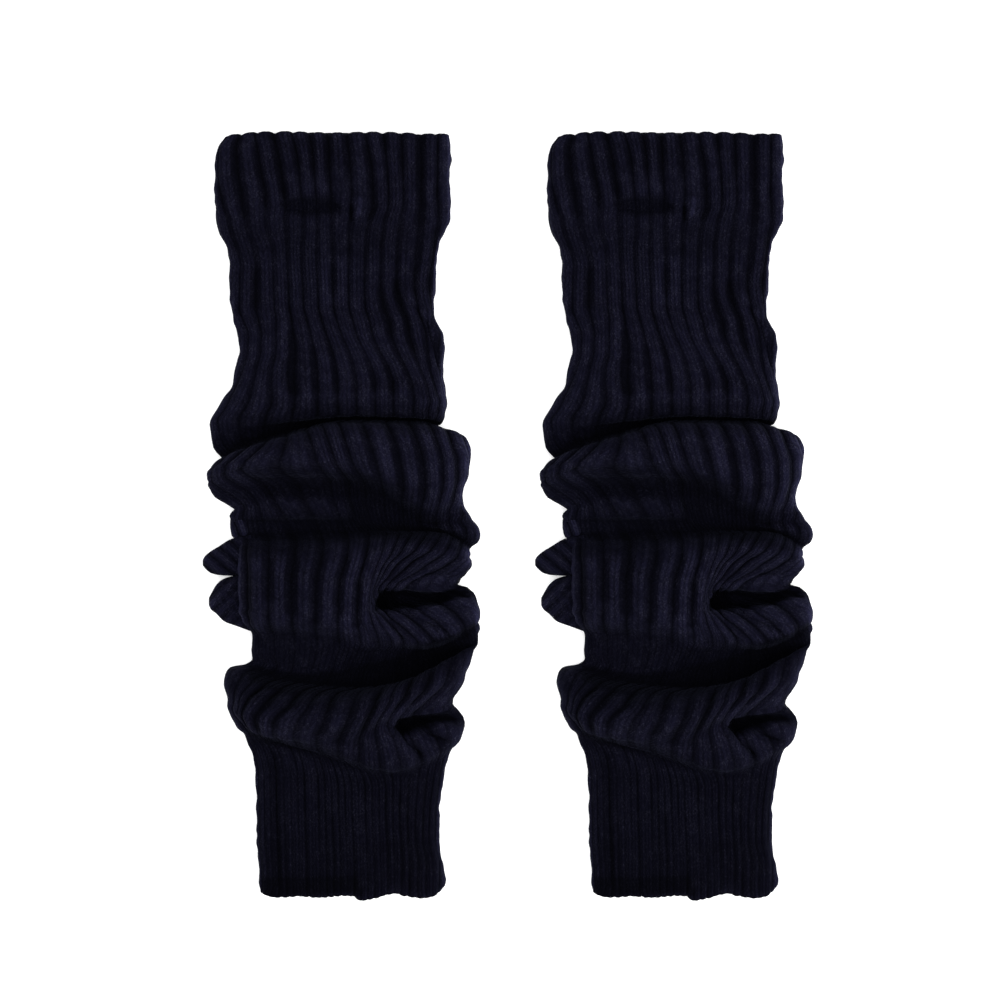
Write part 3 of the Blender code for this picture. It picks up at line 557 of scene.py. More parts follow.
def smooth_through(knots: np.ndarray, values: np.ndarray, at: np.ndarray) -> np.ndarray:
    """Reads a smooth curve that never overshoots its knots.

    Args:
        knots: Where the values are known, rising.
        values: One row for each knot.
        at: Where to read.

    Returns:
        One row for each place in at.
    """
    shape = (-1,) + (1,) * (values.ndim - 1)
    widths = np.diff(knots).reshape(shape)
    slopes = np.diff(values, axis=0) / widths
    before, after = slopes[:-1], slopes[1:]
    agree = before * after > 0
    total = np.where(agree, before + after, 1.0)
    inner = np.where(agree, 2 * before * after / total, 0.0)
    tangents = np.concatenate([slopes[:1], inner, slopes[-1:]])
    span = np.clip(np.searchsorted(knots, at, side="right") - 1, 0, len(knots) - 2)
    step = widths[span]
    part = (at - knots[span]).reshape(shape) / step
    start = (1 + 2 * part) * (1 - part) ** 2 * values[span]
    end = part**2 * (3 - 2 * part) * values[span + 1]
    leave = part * (1 - part) ** 2 * step * tangents[span]
    arrive = part**2 * (part - 1) * step * tangents[span + 1]
    return start + end + leave + arrive


def smooth_step(low: float, high: float, values: np.ndarray) -> np.ndarray:
    """0 below low, 1 above high, and an even bend between them."""
    part = np.clip((values - low) / (high - low), 0, 1)
    return part**2 * (3 - 2 * part)


def line_distance(x: np.ndarray, y: np.ndarray,
                  line: tuple[tuple[float, float], ...]) -> tuple[np.ndarray, np.ndarray]:
    """How far places lie from a line of straight pieces, and on which side of it.

    Args:
        x: Across.
        y: Along.
        line: The line's corners.

    Returns:
        The distance, and 1 for what lies on the left of the line as it runs, -1 on the right.
    """
    nearest, side = np.full(x.shape, np.inf), np.ones(x.shape)
    for (x0, y0), (x1, y1) in zip(line[:-1], line[1:]):
        run_x, run_y = x1 - x0, y1 - y0
        share = np.clip(((x - x0) * run_x + (y - y0) * run_y) / (run_x**2 + run_y**2), 0, 1)
        off_x, off_y = x - x0 - share * run_x, y - y0 - share * run_y
        distance = np.hypot(off_x, off_y)
        closer = distance < nearest
        nearest = np.where(closer, distance, nearest)
        side = np.where(closer, np.sign(run_x * off_y - run_y * off_x), side)
    return nearest, side


def inside_outline(x: np.ndarray, y: np.ndarray,
                   outline: tuple[tuple[float, float], ...]) -> np.ndarray:
    """Tells which places lie within a closed outline.

    Args:
        x: Across.
        y: Along.
        outline: Its corners.

    Returns:
        True for each place within.
    """
    crossings = np.zeros(x.shape, int)
    for (x0, y0), (x1, y1) in zip(outline, outline[1:] + outline[:1]):
        spans = (y0 > y) != (y1 > y)
        level = y1 - y0 if y1 != y0 else 1.0
        crossings += spans & (x < x0 + (y - y0) / level * (x1 - x0))
    return crossings % 2 == 1


def quarter_round(part: np.ndarray) -> tuple[np.ndarray, np.ndarray]:
    """How far in and how far up, 0 to 1, a quarter circle is between its upright and level ends."""
    inwards = part**2 * (2 - part)
    return inwards, np.sqrt(np.clip(inwards * (2 - inwards), 0, 1))


def mixed_round(values: np.ndarray) -> np.ndarray:
    """Mixes each column of the tube's grid with the ones beside it."""
    return (np.roll(values, 1, axis=1) + 2 * values + np.roll(values, -1, axis=1)) / 4


def smooth_field(values: np.ndarray, times: int) -> np.ndarray:
    """Evens a field of the tube's grid out, round it and along it.

    Args:
        values: One value for each ring and column.
        times: How often each is mixed with its neighbours.

    Returns:
        The evened field.
    """
    for _ in range(times):
        values = mixed_round(values)
        ends = np.concatenate([values[:1], values, values[-1:]])
        values = (ends[:-2] + 2 * values + ends[2:]) / 4
    return values


def wander(seed: int, count: int, spread: float) -> np.ndarray:
    """Makes smooth unevenness along a row.

    Args:
        seed: Of its random numbers.
        count: How many values.
        spread: About how many steps there are from bump to bump.

    Returns:
        Values about 1 high, above and below nothing.
    """
    margin = 4 * int(spread)
    noise = np.random.default_rng(seed).normal(size=count + 2 * margin)
    kernel = np.hanning(margin + 3)
    smooth = np.convolve(noise, kernel / np.sqrt((kernel**2).sum()), mode="same")
    return smooth[margin:][:count]


@dataclass(frozen=True)
class Unevenness:
    """How the grooves of a rib differ from one another and along their way."""

    seed: int
    middle: float
    spread: float
    least: float
    most: float
    run: float  # rings from bump to bump

    def rows(self, rings: int, count: int) -> np.ndarray:
        """Draws how strong each groove is along its way.

        Args:
            rings: How many rings the tube has.
            count: How many grooves.

        Returns:
            One strength for each ring and groove.
        """
        return np.stack([
            np.clip(self.middle + self.spread * wander(self.seed + number, rings, self.run),
                    self.least, self.most)
            for number in range(count)
        ], axis=1)


WIDE_GROOVES = Unevenness(seed=40, middle=0.7, spread=0.5, least=0, most=1.3, run=14)
FINE_GROOVES = Unevenness(seed=90, middle=0.85, spread=0.45, least=0.15, most=1.4, run=16)


@dataclass
class Knit:
    """A grid of points on the cloth, with what the knit needs at each of them."""

    points: np.ndarray  # rings, columns, 3
    rib: np.ndarray  # which rib, counted round the tube, at each column
    course: np.ndarray  # how far along the yarn rows, in mm
    crest: np.ndarray  # 0 in a groove to 1 on a rib, which sets how much painted groove shade the colour takes
    open: np.ndarray  # painted shade and light on the colour: 0 deep in a crease to 1 where nothing stands over the cloth, more where painted light lies


@dataclass
class LegWarmer:
    """One scrunched tube of chunky rib knit, laid flat."""

    ring_gap: float = 1.6  # from one ring of points to the next along the cloth
    front_steps: int = 9  # points to a rib on the front and the sides
    back_steps: int = 3  # and on the underside
    back_ribs: int = 12
    side_share: float = 0.45  # the widest line of a side, as a share of the height above it
    rounding: tuple[float, float] = (0.4, 1.5)  # radius of a shoulder: a share of its height, and more
    undercut: tuple[float, float] = (0.45, 1.5)  # how far in the foot of a side stands
    full_pitch: float = 8.5  # ribs bunched closer than this are lower
    back_relief: float = 1.1
    back_panel: float = 2.8
    front_panel: float = 2.8
    least_opening: float = 0.7
    most_opening: float = 3.2
    side_wall: float = 4.5
    mouth_reach: float = 9.0  # the inside clears all of the front that lies this near along the tube
    mouth_ends: tuple[float, float] = (12.0, 0.15)  # how fast it closes at its sides, and what stays
    inner_rings: int = 40
    rim_rings: int = 3
    rim_swell: float = 0.9  # how far the rounded edge of a mouth stands out
    scallop: float = 1.3  # how far a rib stands beyond the grooves along the mouths
    drift: float = 0.05  # how far ribs stray sideways, as a share of a rib
    rib_power: float = 0.65  # below 1, ribs are broad and the grooves between them narrow
    deep_power: float = 0.55  # added to it along deep grooves
    deep_cut: float = 0.3  # and added to how much they cut
    deep_fade: tuple[float, float] = (0.6, 0.4)  # sections before and after a deep groove's ends
    fine_power: float = 0.8
    groove_share: tuple[float, float] = (0.6, 0.32)  # how much of the relief grooves cut, at least and more
    wale_depth: float = 0.2  # of the line down the middle of a rib
    wale_width: float = 0.12
    pit_relief: float = 0.3  # how much of their height ribs keep on the floor of a pit
    full_relief: float = 1.8  # ribs lower than this also get less of the painted shade in their grooves
    plain_crest: float = 0.55
    waviness: float = 0.3  # of the cuff's edge
    shade_cell: float = 1.2
    proud: tuple[float, float] = (6.0, 0.3)  # painted light: cloth that stands this far out is painted so much lighter
    side_light_gain: tuple[float, float] = (2.5, 10.5)  # painted light: how much paler the left and the right side get
    side_power: float = 5.0
    side_ribs: float = 2.5  # that get it
    side_crest: float = 0.7  # how much of their grooves' shade it hides
    # Painted shade on the inside and the rims of both mouths: how much light they keep, and their crest.
    inner_painted_shade: float = 0.35
    inner_crest: float = 0.5
    creep: tuple[float, float] = (0.15, 0.3)  # least step of the underside, and more where the front runs
    normal_smoothing: int = 3
    side_light_smoothing: int = 4
    drift_run: float = 12
    cuff_run: float = 9
    edge_bump: float = 0.35  # of single stitches along the left and the right side
    edge_facing: tuple[float, float] = (0.5, 1.0)  # how far sideways the cloth faces where they start
    edge_rings: int = 12  # that follow the unevenness of the ankle's edge
    back_edge: float = 0.8  # how much further back that edge stands beneath

    def section_places(self) -> np.ndarray:
        """Spaces the rings evenly along the cloth.

        Returns:
            Where each ring lies among the sections.
        """
        y = np.array([section.y for section in SECTIONS])
        z = np.array([section.height for section in SECTIONS])
        length = np.hypot(np.diff(y, axis=0), np.diff(z, axis=0)).mean(axis=1)
        places = []
        for index, gap in enumerate(length):
            count = max(2, round(float(gap) / self.ring_gap))
            places += [index + step / count for step in range(count)]
        return np.array(places + [len(SECTIONS) - 1.0])

    def columns(self) -> np.ndarray:
        """Spaces the points of a ring.

        Returns:
            Where each of them lies among the ribs, all round the tube.
        """
        front = np.arange(RIBS * self.front_steps + 1) / self.front_steps
        side = np.arange(1, self.front_steps + 1) / self.front_steps
        back = np.arange(1, self.back_ribs * self.back_steps) / self.back_steps
        first_back = RIBS + 1
        return np.concatenate([
            front, RIBS + side, first_back + back, first_back + self.back_ribs + side - side[0],
        ])

    def read(self, places: np.ndarray, across: np.ndarray) -> tuple[np.ndarray, ...]:
        """Reads the front from the sections.

        Args:
            places: Where each ring lies among the sections.
            across: Where each column of the front lies among its ribs.

        Returns:
            X, y and height, each one value for a ring and a column.
        """
        rows = np.arange(len(SECTIONS), dtype=float)
        fields = []
        for name, stations in (("x", GROOVES), ("y", STATIONS), ("height", STATIONS)):
            table = np.array([getattr(section, name) for section in SECTIONS], float)
            along = smooth_through(rows, table, places)
            fields.append(smooth_through(stations, along.T, across).T)
        return tuple(fields)

    def rounded(self, x: np.ndarray, height: np.ndarray) -> tuple[np.ndarray, np.ndarray]:
        """Rounds the front off at both of its sides.

        Args:
            x: Across, for each ring and column of the front.
            height: Above the surface.

        Returns:
            The rounded x and height.
        """
        left, right = x[:, :1], x[:, -1:]
        new_x, new_height = x.copy(), height.copy()
        for edge, inwards, end in ((left, 1.0, 0), (right, -1.0, -1)):
            top = height[:, [end]]
            radius = self.rounding[0] * top + self.rounding[1]
            depth = (x - edge) * inwards / radius
            along, up = quarter_round(np.clip(depth, 0, 1))
            side = self.side_share * top
            new_x = np.where(depth < 1, edge + inwards * radius * along, new_x)
            new_height = np.where(depth < 1, side + (height - side) * up, new_height)
        return new_x, new_height

    @staticmethod
    def near_share(x: np.ndarray, y: np.ndarray, outline: tuple[tuple[float, float], ...],
                   spread: float) -> np.ndarray:
        """Tells how much places belong to an outline.

        Args:
            x: Across.
            y: Along.
            outline: Its corners.
            spread: How far it fades out.

        Returns:
            1 within the outline, falling to 0 where it has faded out.
        """
        distance, _ = line_distance(x, y, outline + outline[:1])
        outwards = np.where(inside_outline(x, y, outline), 0.0, distance)
        return 1 - smooth_step(0.0, spread, outwards)

    @classmethod
    def folded(cls, x: np.ndarray, y: np.ndarray, height: np.ndarray) -> np.ndarray:
        """Adds the ridges, troughs and pits that lie across the front.

        Args:
            x: Across, for each ring and column of the front.
            y: Along.
            height: Above the surface.

        Returns:
            The new height.
        """
        for fold in FOLDS:
            distance, side = line_distance(x, y, fold.line)
            reach = np.where(side < 0, fold.reach[0], fold.reach[1])
            height = height + fold.rise * np.exp(-((distance / reach) ** 2))
        for pit in PITS:
            share = cls.near_share(x, y, pit.outline, pit.bank)
            sunk = height + (pit.floor - height) * share
            height = np.where(height > pit.floor, sunk, height)
        return height

    def side(self, edge: np.ndarray, y: np.ndarray, floor_y: np.ndarray, top: np.ndarray,
             outwards: float) -> np.ndarray:
        """Places points down one side, from just under its widest line to the surface.

        Args:
            edge: X of the widest line at each ring.
            y: Of the front there.
            floor_y: Of the underside there.
            top: Height of the front above that line.
            outwards: 1 on the right, -1 on the left.

        Returns:
            Positions by ring, from the top down.
        """
        part = np.arange(1, self.front_steps + 1)[None] / self.front_steps
        side = self.side_share * top[:, None]
        foot = self.undercut[0] * side + self.undercut[1]
        along, down = quarter_round(part)
        x = edge[:, None] - outwards * foot * along
        z = side * (1 - down)
        mixed = y[:, None] + (floor_y - y)[:, None] * smooth_step(0.0, 1.0, part)
        return np.stack([x, mixed, z], axis=2)

    def base(self, places: np.ndarray, columns: np.ndarray) -> np.ndarray:
        """Places the whole outside at the bottom of its grooves.

        Args:
            places: Where each ring lies among the sections.
            columns: Where each column lies among the ribs.

        Returns:
            Positions by ring and column.
        """
        across = columns[:RIBS * self.front_steps + 1]
        x, y, top = self.read(places, across)
        x, height = self.rounded(x, top)
        front = np.stack([x, y, self.folded(x, y, height)], axis=2)
        floor_y = self.downhill(y.mean(axis=1), y)
        right = self.side(x[:, -1], y[:, -1], floor_y[:, -1], top[:, -1], 1.0)
        left = self.side(x[:, 0], y[:, 0], floor_y[:, 0], top[:, 0], -1.0)
        share = np.arange(1, self.back_ribs * self.back_steps) / (self.back_ribs * self.back_steps)
        share = share[None, :, None]
        back = right[:, -1:] + (left[:, -1:] - right[:, -1:]) * share
        nearest = np.round((1 - share[0, :, 0]) * (len(across) - 1)).astype(int)
        back[:, :, 1] = floor_y[:, nearest]
        return np.concatenate([front, right, back, left[:, ::-1]], axis=1)

    def downhill(self, middle: np.ndarray, y: np.ndarray) -> np.ndarray:
        """Lays the rings out on the underside, where none turns back under a lip as the front does.

        Args:
            middle: Y of each ring of the front, on average.
            y: Of each ring and column of the front.

        Returns:
            Y on the underside, for the same rings and columns.
        """
        floor = y.copy()
        for index in range(1, len(floor)):
            least = self.creep[0] + self.creep[1] * abs(middle[index] - middle[index - 1])
            floor[index] = np.minimum(floor[index], floor[index - 1] - least)
        excess = floor[-1] - y[-1]
        return floor - excess * np.linspace(0, 1, len(floor))[:, None]

    def deep_share(self, places: np.ndarray) -> np.ndarray:
        """Reads the deep grooves.

        Args:
            places: Where each ring lies among the sections.

        Returns:
            How much deeper than others each groove is, by ring and groove.
        """
        before, after = self.deep_fade
        rows = {section.name: index for index, section in enumerate(SECTIONS)}
        deep = np.zeros((len(places), 2 * RIBS + 1))
        for groove in DEEP_GROOVES:
            start, end = rows[groove.start], rows[groove.end]
            share = smooth_step(start - before, start + after, places)
            share = share * (1 - smooth_step(end - after, end + before, places))
            deep[:, groove.groove] = np.maximum(deep[:, groove.groove], share * groove.depth)
        return deep

    def rib_shape(self, places: np.ndarray, columns: np.ndarray, fine: np.ndarray) -> np.ndarray:
        """Shapes the ribs.

        Args:
            places: Where each ring lies among the sections.
            columns: Where each column lies among the ribs.
            fine: 0 where ribs are wide and 1 where they are fine, by ring.

        Returns:
            How high each point stands between groove, 0, and crest, 1.
        """
        rings = len(places)
        drift = self.drift * wander(DRIFT_SEED, rings, self.drift_run)[:, None] * np.ones_like(columns)
        place = columns[None] + drift
        nearest = np.clip(np.round(columns).astype(int), 0, 2 * RIBS)
        deep = self.deep_share(places)[:, nearest]
        wide = np.abs(np.sin(np.pi * place)) ** (self.rib_power + self.deep_power * deep)
        middle = np.exp(-(((place % 1) - 0.5) / self.wale_width) ** 2)
        strength = WIDE_GROOVES.rows(rings, 2 * RIBS + 1)
        number = np.clip(columns.astype(int), 0, 2 * RIBS)
        wide = wide - self.wale_depth * middle * strength[:, number]
        cut = self.groove_share[0] + self.groove_share[1] * strength[:, nearest] + self.deep_cut * deep
        wide = 1 - (1 - wide) * cut
        narrow = np.abs(np.sin(2 * np.pi * place)) ** self.fine_power
        half = np.clip(np.round(2 * columns).astype(int), 0, 4 * RIBS)
        narrow = 1 - (1 - narrow) * FINE_GROOVES.rows(rings, 4 * RIBS + 1)[:, half]
        return wide * (1 - fine) + narrow * fine

    def facing(self, base: np.ndarray) -> tuple[np.ndarray, np.ndarray]:
        """Reads which way the cloth faces.

        Args:
            base: Positions by ring and column, at the bottom of the grooves.

        Returns:
            Its normals, and the way from the column before each point to the one after it.
        """
        along = np.gradient(base, axis=0)
        around = np.roll(base, -1, axis=1) - np.roll(base, 1, axis=1)
        for _ in range(self.normal_smoothing):
            along, around = mixed_round(along), mixed_round(around)
        normal = np.cross(along, around)
        length = np.linalg.norm(normal, axis=2, keepdims=True)
        return normal / np.maximum(length, 1e-9), around

    def relief(self, places: np.ndarray, base: np.ndarray) -> np.ndarray:
        """Reads how high the ribs stand, which is less in the pits.

        Args:
            places: Where each ring lies among the sections.
            base: Positions by ring and column.

        Returns:
            One height for each ring and column.
        """
        heights = np.array([section.relief for section in SECTIONS])
        relief = smooth_through(np.arange(len(SECTIONS), dtype=float), heights, places)[:, None]
        for pit in PITS:
            share = self.near_share(base[:, :, 0], base[:, :, 1], pit.outline, pit.bank)
            relief = relief * (1 - (1 - self.pit_relief) * share)
        return relief

    def underside(self, columns: np.ndarray) -> np.ndarray:
        """Tells how far each column has turned to the underside.

        Args:
            columns: Where each column lies among the ribs.

        Returns:
            0 on the front to 1 on the underside.
        """
        first, last = RIBS + 1, RIBS + 1 + self.back_ribs
        down_right = smooth_step(RIBS, first, columns)
        down_left = smooth_step(last, last + 1, columns)
        return np.where(columns > last, 1 - down_left, down_right)

    def bumps(self, normal: np.ndarray) -> np.ndarray:
        """Makes single stitches stand out along both sides.

        Args:
            normal: Of the cloth, by ring and column.

        Returns:
            How far each point stands out.
        """
        left, right = (wander(seed, len(normal), 1)[:, None] for seed in (LEFT_SEED, RIGHT_SEED))
        aside = smooth_step(*self.edge_facing, np.abs(normal[:, :, 0]))
        return self.edge_bump * np.where(normal[:, :, 0] < 0, left, right) * aside

    def painted_side_light(self, normal: np.ndarray, columns: np.ndarray) -> tuple[np.ndarray, np.ndarray]:
        """Reads where the cloth turns to the left or to the right, and the painted light that makes it
        paler there.

        Args:
            normal: Of the cloth, by ring and column.
            columns: Where each column lies among the ribs.

        Returns:
            How far each point has turned, and how much paler it is painted for that.
        """
        facing = smooth_field(normal[:, :, 0], self.side_light_smoothing)
        inwards = np.where(columns > RIBS, 0.0, np.minimum(columns, RIBS - columns))
        turned = np.abs(facing) ** self.side_power * np.clip(1 - inwards / self.side_ribs, 0, 1)
        return turned, np.where(facing < 0, *self.side_light_gain) * turned

    def outside(self) -> Knit:
        """Makes the ribbed outside of the tube, all round and from cuff to ankle.

        Returns:
            Its points, with what the knit needs there.
        """
        places, columns = self.section_places(), self.columns()
        base = self.base(places, columns)
        normal, around = self.facing(base)
        fine = np.clip(places - FIRST_FINE + 1, 0, 1)[:, None]
        crest = self.rib_shape(places, columns, fine)
        relief = self.relief(places, base)
        steps = np.where((columns > RIBS + 1) & (columns < RIBS + 1 + self.back_ribs),
                         self.back_steps, self.front_steps)
        pitch = np.linalg.norm(around, axis=2) * 0.5 * steps
        bunched = np.clip(pitch / self.full_pitch, 0, 1)
        on_back = self.underside(columns)
        raised = crest * relief * bunched * (1 - on_back)
        points = base + normal * raised[:, :, None]
        points += normal * self.bumps(normal)[:, :, None]
        points[:, :, 2] += (1 - crest) * self.back_relief * on_back
        points[:, :, 2] = np.maximum(points[:, :, 2], 0.0)
        full = np.clip(relief / self.full_relief, 0, 1)
        crest = self.plain_crest * (1 - full) + crest * full
        step = np.linalg.norm(np.diff(base, axis=0), axis=2)
        course = np.concatenate([np.zeros((1, len(columns))), np.cumsum(step, axis=0)])
        # Painted light on the sides: cloth turned to the left or right is painted paler, and its groove
        # shade is hidden there.
        turned, pale = self.painted_side_light(normal, columns)
        crest = crest + (1 - crest) * self.side_crest * turned
        return Knit(points, columns, course, crest, self.painted_shading(points) * (1 + pale))

    def painted_shading(self, points: np.ndarray) -> np.ndarray:
        """Paints shade and light onto the outside's colour by how clear of the folds round it each point
        lies.

        Args:
            points: Positions by ring and column.

        Returns:
            A colour factor of painted shade and light: 0 deep down, 1 where nothing stands higher, and more
            where the cloth stands out, with the painted patches' shade and light on top.
        """
        front = points[:, :RIBS * self.front_steps + 1].reshape(-1, 3)
        margin = 3 * max(shade.reach for shade in SHADES)
        flat = points[:, :, :2].reshape(-1, 2)
        low = flat.min(axis=0) - margin
        size = np.ceil((flat.max(axis=0) + margin - low) / self.shade_cell).astype(int) + 1
        heights = np.zeros(size)
        cell = ((front[:, :2] - low) / self.shade_cell).astype(int)
        np.maximum.at(heights, (cell[:, 0], cell[:, 1]), front[:, 2])
        filled = np.maximum.reduce([np.roll(heights, (i, j), (0, 1)) for i in (-1, 0, 1)
                                    for j in (-1, 0, 1)])
        heights = np.where(heights > 0, heights, filled)
        cells = ((points[:, :, :2] - low) / self.shade_cell).astype(int)
        clear = np.ones(points.shape[:2])
        # Painted shade where the cloth lies below its surroundings, and painted light where it stands out.
        for shade in SHADES:
            sunk = self.blurred(heights, shade.reach)[cells[:, :, 0], cells[:, :, 1]] - points[:, :, 2]
            clear = clear * (1 - shade.share * smooth_step(shade.least, shade.most, sunk))
            clear = clear * (1 + self.proud[1] * np.clip(-sunk / self.proud[0], 0, 1))
        # Painted shade and painted light in patches, on the front and the upper sides only.
        above = np.ones(points.shape[1])
        above[RIBS * self.front_steps + self.front_steps // 2:-self.front_steps // 2] = 0
        for patch in PAINTED_LIGHT_PATCHES:
            share = self.near_share(points[:, :, 0], points[:, :, 1], patch.outline, patch.spread)
            clear = clear * (1 + patch.change * share * above)
        return clear

    def blurred(self, heights: np.ndarray, reach: float) -> np.ndarray:
        """Averages heights over their surroundings.

        Args:
            heights: One for each cell of a level grid.
            reach: How far the surroundings go.

        Returns:
            The averages.
        """
        steps = int(3 * reach / self.shade_cell)
        along = np.arange(-steps, steps + 1) * self.shade_cell
        kernel = np.exp(-0.5 * (along / reach) ** 2)
        kernel /= kernel.sum()
        for axis in (0, 1):
            heights = np.apply_along_axis(np.convolve, axis, heights, kernel, mode="same")
        return heights

    def shape_ankle_edge(self, points: np.ndarray, wave: np.ndarray, columns: np.ndarray) -> None:
        """Makes the ankle's edge uneven.

        Args:
            points: Positions of the outside by ring and column, which are moved.
            wave: How far the edge already stands out, by column.
            columns: Where each column lies among the ribs.
        """
        count = self.edge_rings
        fade = smooth_step(0.0, 1.0, np.arange(1, count + 1) / count)[:, None]
        back_share = (columns - RIBS - 1) / self.back_ribs
        under = np.where(columns > RIBS + 0.5, RIBS * (1 - back_share), columns)
        rise = np.interp(under, [at for at, _ in ANKLE_EDGE], [back for _, back in ANKLE_EDGE])
        rise = rise + np.where(columns > RIBS + 0.5, self.back_edge, 0.0) - wave
        points[-count:, :, 1] += fade * rise

    def inside(self, outer: np.ndarray) -> np.ndarray:
        """Makes the plain inside, from the ankle back to the cuff: a low flat opening.

        Args:
            outer: Positions of the outside by ring and column.

        Returns:
            Positions of the inside by ring and column.
        """
        front = RIBS * self.front_steps + 1
        face = outer[:, :front]
        share = np.linspace(0, 1, self.inner_rings)[:, None]
        first = (face[0, :, 0] - face[0, 0, 0]) / np.ptp(face[0, :, 0])
        last = (face[-1, :, 0] - face[-1, 0, 0]) / np.ptp(face[-1, :, 0])
        part = np.clip(last * (1 - share) + first * share, 0, 1)
        y_line = face[-1, :, 1] * (1 - share) + face[0, :, 1] * share
        left, right = np.empty(self.inner_rings), np.empty(self.inner_rings)
        low = np.empty((self.inner_rings, front))
        for index in range(self.inner_rings):
            centre = y_line[index].mean()
            near = np.abs(face[:, :, 1] - centre) < self.mouth_reach
            left[index] = face[:, 0, 0][near[:, 0]].max() + self.side_wall
            right[index] = face[:, -1, 0][near[:, -1]].min() - self.side_wall
            x_line = left[index] + (right[index] - left[index]) * part[index]
            heights = np.where(near, face[:, :, 2], np.inf)
            lowest = heights.min(axis=0)
            low[index] = np.interp(x_line, np.sort(face[0, :, 0]), lowest)
        x = left[:, None] + (right - left)[:, None] * part
        gap = np.clip(low.min(axis=1, keepdims=True) - self.front_panel - self.back_panel,
                      self.least_opening, self.most_opening)
        gap = gap * np.clip(np.minimum(part, 1 - part) * self.mouth_ends[0] + self.mouth_ends[1], 0, 1)
        ceiling = np.stack([x, y_line, self.back_panel + gap], axis=2)
        columns = outer.shape[1] - front
        side = self.front_steps
        down = np.clip(np.arange(1, columns + 1) / side, 0, 1)[None]
        back_at = np.clip((np.arange(columns) - side + 1) / (columns - 2 * side + 1), 0, 1)[None]
        rise = np.clip((np.arange(columns) - (columns - side)) / side, 0, 1)[None]
        z = self.back_panel + gap[:, -1:] * (1 - down) + gap[:, :1] * rise
        under_x = right[:, None] + (left - right)[:, None] * back_at
        nearest = np.round((1 - back_at[0]) * (front - 1)).astype(int)
        under = np.stack([under_x, y_line[:, nearest], z * np.ones_like(under_x)], axis=2)
        return np.concatenate([ceiling, under], axis=1)

    def rim(self, start: np.ndarray, end: np.ndarray, outwards: float) -> np.ndarray:
        """Rounds the cloth's edge off from one ring to another.

        Args:
            start: Positions of the ring on the one side of the edge.
            end: Positions of the ring on the other side.
            outwards: 1 where the edge faces the cuff, -1 where it faces the ankle.

        Returns:
            Positions of the rings between them.
        """
        share = np.arange(1, self.rim_rings + 1) / (self.rim_rings + 1)
        share = share[:, None, None]
        rings = start[None] * (1 - share) + end[None] * share
        rings[:, :, 1] += outwards * self.rim_swell * np.sin(np.pi * share[:, :, 0])
        return rings

    def whole(self) -> Knit:
        """Joins outside, ankle rim, inside and cuff rim.

        Returns:
            One grid that closes on itself both ways.
        """
        outer = self.outside()
        wave = self.scallop * (outer.crest - 0.5)
        waviness = self.waviness * wander(CUFF_SEED, wave.shape[1], self.cuff_run)
        outer.points[0, :, 1] += wave[0] + waviness
        self.shape_ankle_edge(outer.points, wave[-1], outer.rib)
        inner = self.inside(outer.points)
        ankle = self.rim(outer.points[-1], inner[0], -1.0)
        cuff = self.rim(inner[-1], outer.points[0], 1.0)
        points = np.concatenate([outer.points, ankle, inner, cuff])
        beyond = len(points) - len(outer.points)
        step = np.linalg.norm(np.diff(points[len(outer.points) - 1:], axis=0), axis=2)
        course = np.concatenate([outer.course, outer.course[-1] + np.cumsum(step, axis=0)])
        crest = np.concatenate([outer.crest, np.full((beyond, points.shape[1]), self.inner_crest)])
        clear = np.concatenate([outer.open, np.full((beyond, points.shape[1]), self.inner_painted_shade)])
        return Knit(points, outer.rib, course, crest, clear)


@dataclass
class LooseTuck:
    """A flat lobe of ribbed cloth, rounded at its edge and resting on the surface."""

    tuck: Tuck
    around: int = 28
    rows: int = 30
    pitch: float = 7.0
    relief: float = 1.3
    full_thickness: float = 8.0  # thinner cloth has lower ribs
    rib_power: float = 0.75
    edge_power: float = 0.85  # below 1, its upper and lower edges are blunter
    tip_power: float = 1.5  # above 1, rings are closer at its tip
    tuck_light: tuple[float, float] = (1.3, 1.4)  # painted light: how much paler the lobe is, and how much more its tip
    tuck_light_fade: float = 5.0
    top_share: tuple[float, float] = (1.5, 0.4)  # how fast ribs fade towards its foot, and from where

    def surface(self) -> Knit:
        """Makes the lobe's closed outside.

        Returns:
            Its points, in rings from the tip on, with what the knit needs there.
        """
        table = np.array(self.tuck.rows)
        knots = np.arange(len(table), dtype=float)
        at = (len(table) - 1) * (np.arange(self.rows + 1) / self.rows) ** self.tip_power
        x, upper, lower, thick = smooth_through(knots, table, at).T
        angle = 2 * np.pi * np.arange(self.around) / self.around
        flat = np.sign(np.cos(angle)) * np.abs(np.cos(angle)) ** self.edge_power
        y = 0.5 * (upper + lower)[:, None] + 0.5 * (upper - lower)[:, None] * flat[None]
        z = 0.5 * thick[:, None] * (1 + np.sin(angle)[None])
        points = np.stack([np.broadcast_to(x[:, None], y.shape), y, z], axis=2).copy()
        lean = math.radians(self.tuck.ribs_lean)
        across = (points[:, :, 0] * math.cos(lean) + points[:, :, 1] * math.sin(lean)) / self.pitch
        crest = np.abs(np.sin(np.pi * across)) ** self.rib_power
        up = np.clip(np.sin(angle) * self.top_share[0] + self.top_share[1], 0, 1)[None]
        full = np.clip(thick / self.full_thickness, 0, 1)[:, None]
        points[:, :, 2] += self.relief * (crest - 0.5) * up * full
        points[:, :, 2] = np.maximum(points[:, :, 2], 0.0)
        along = np.linalg.norm(np.diff(points, axis=0), axis=2)
        course = np.concatenate([np.zeros((1, self.around)), np.cumsum(along, axis=0)])
        # Painted light: the lobe is painted paler, most of all at its tip.
        clear = self.tuck_light[0] + self.tuck_light[1] * np.exp((x[0] - x) / self.tuck_light_fade)
        return Knit(points, across, course, crest, clear[:, None] * np.ones(self.around))


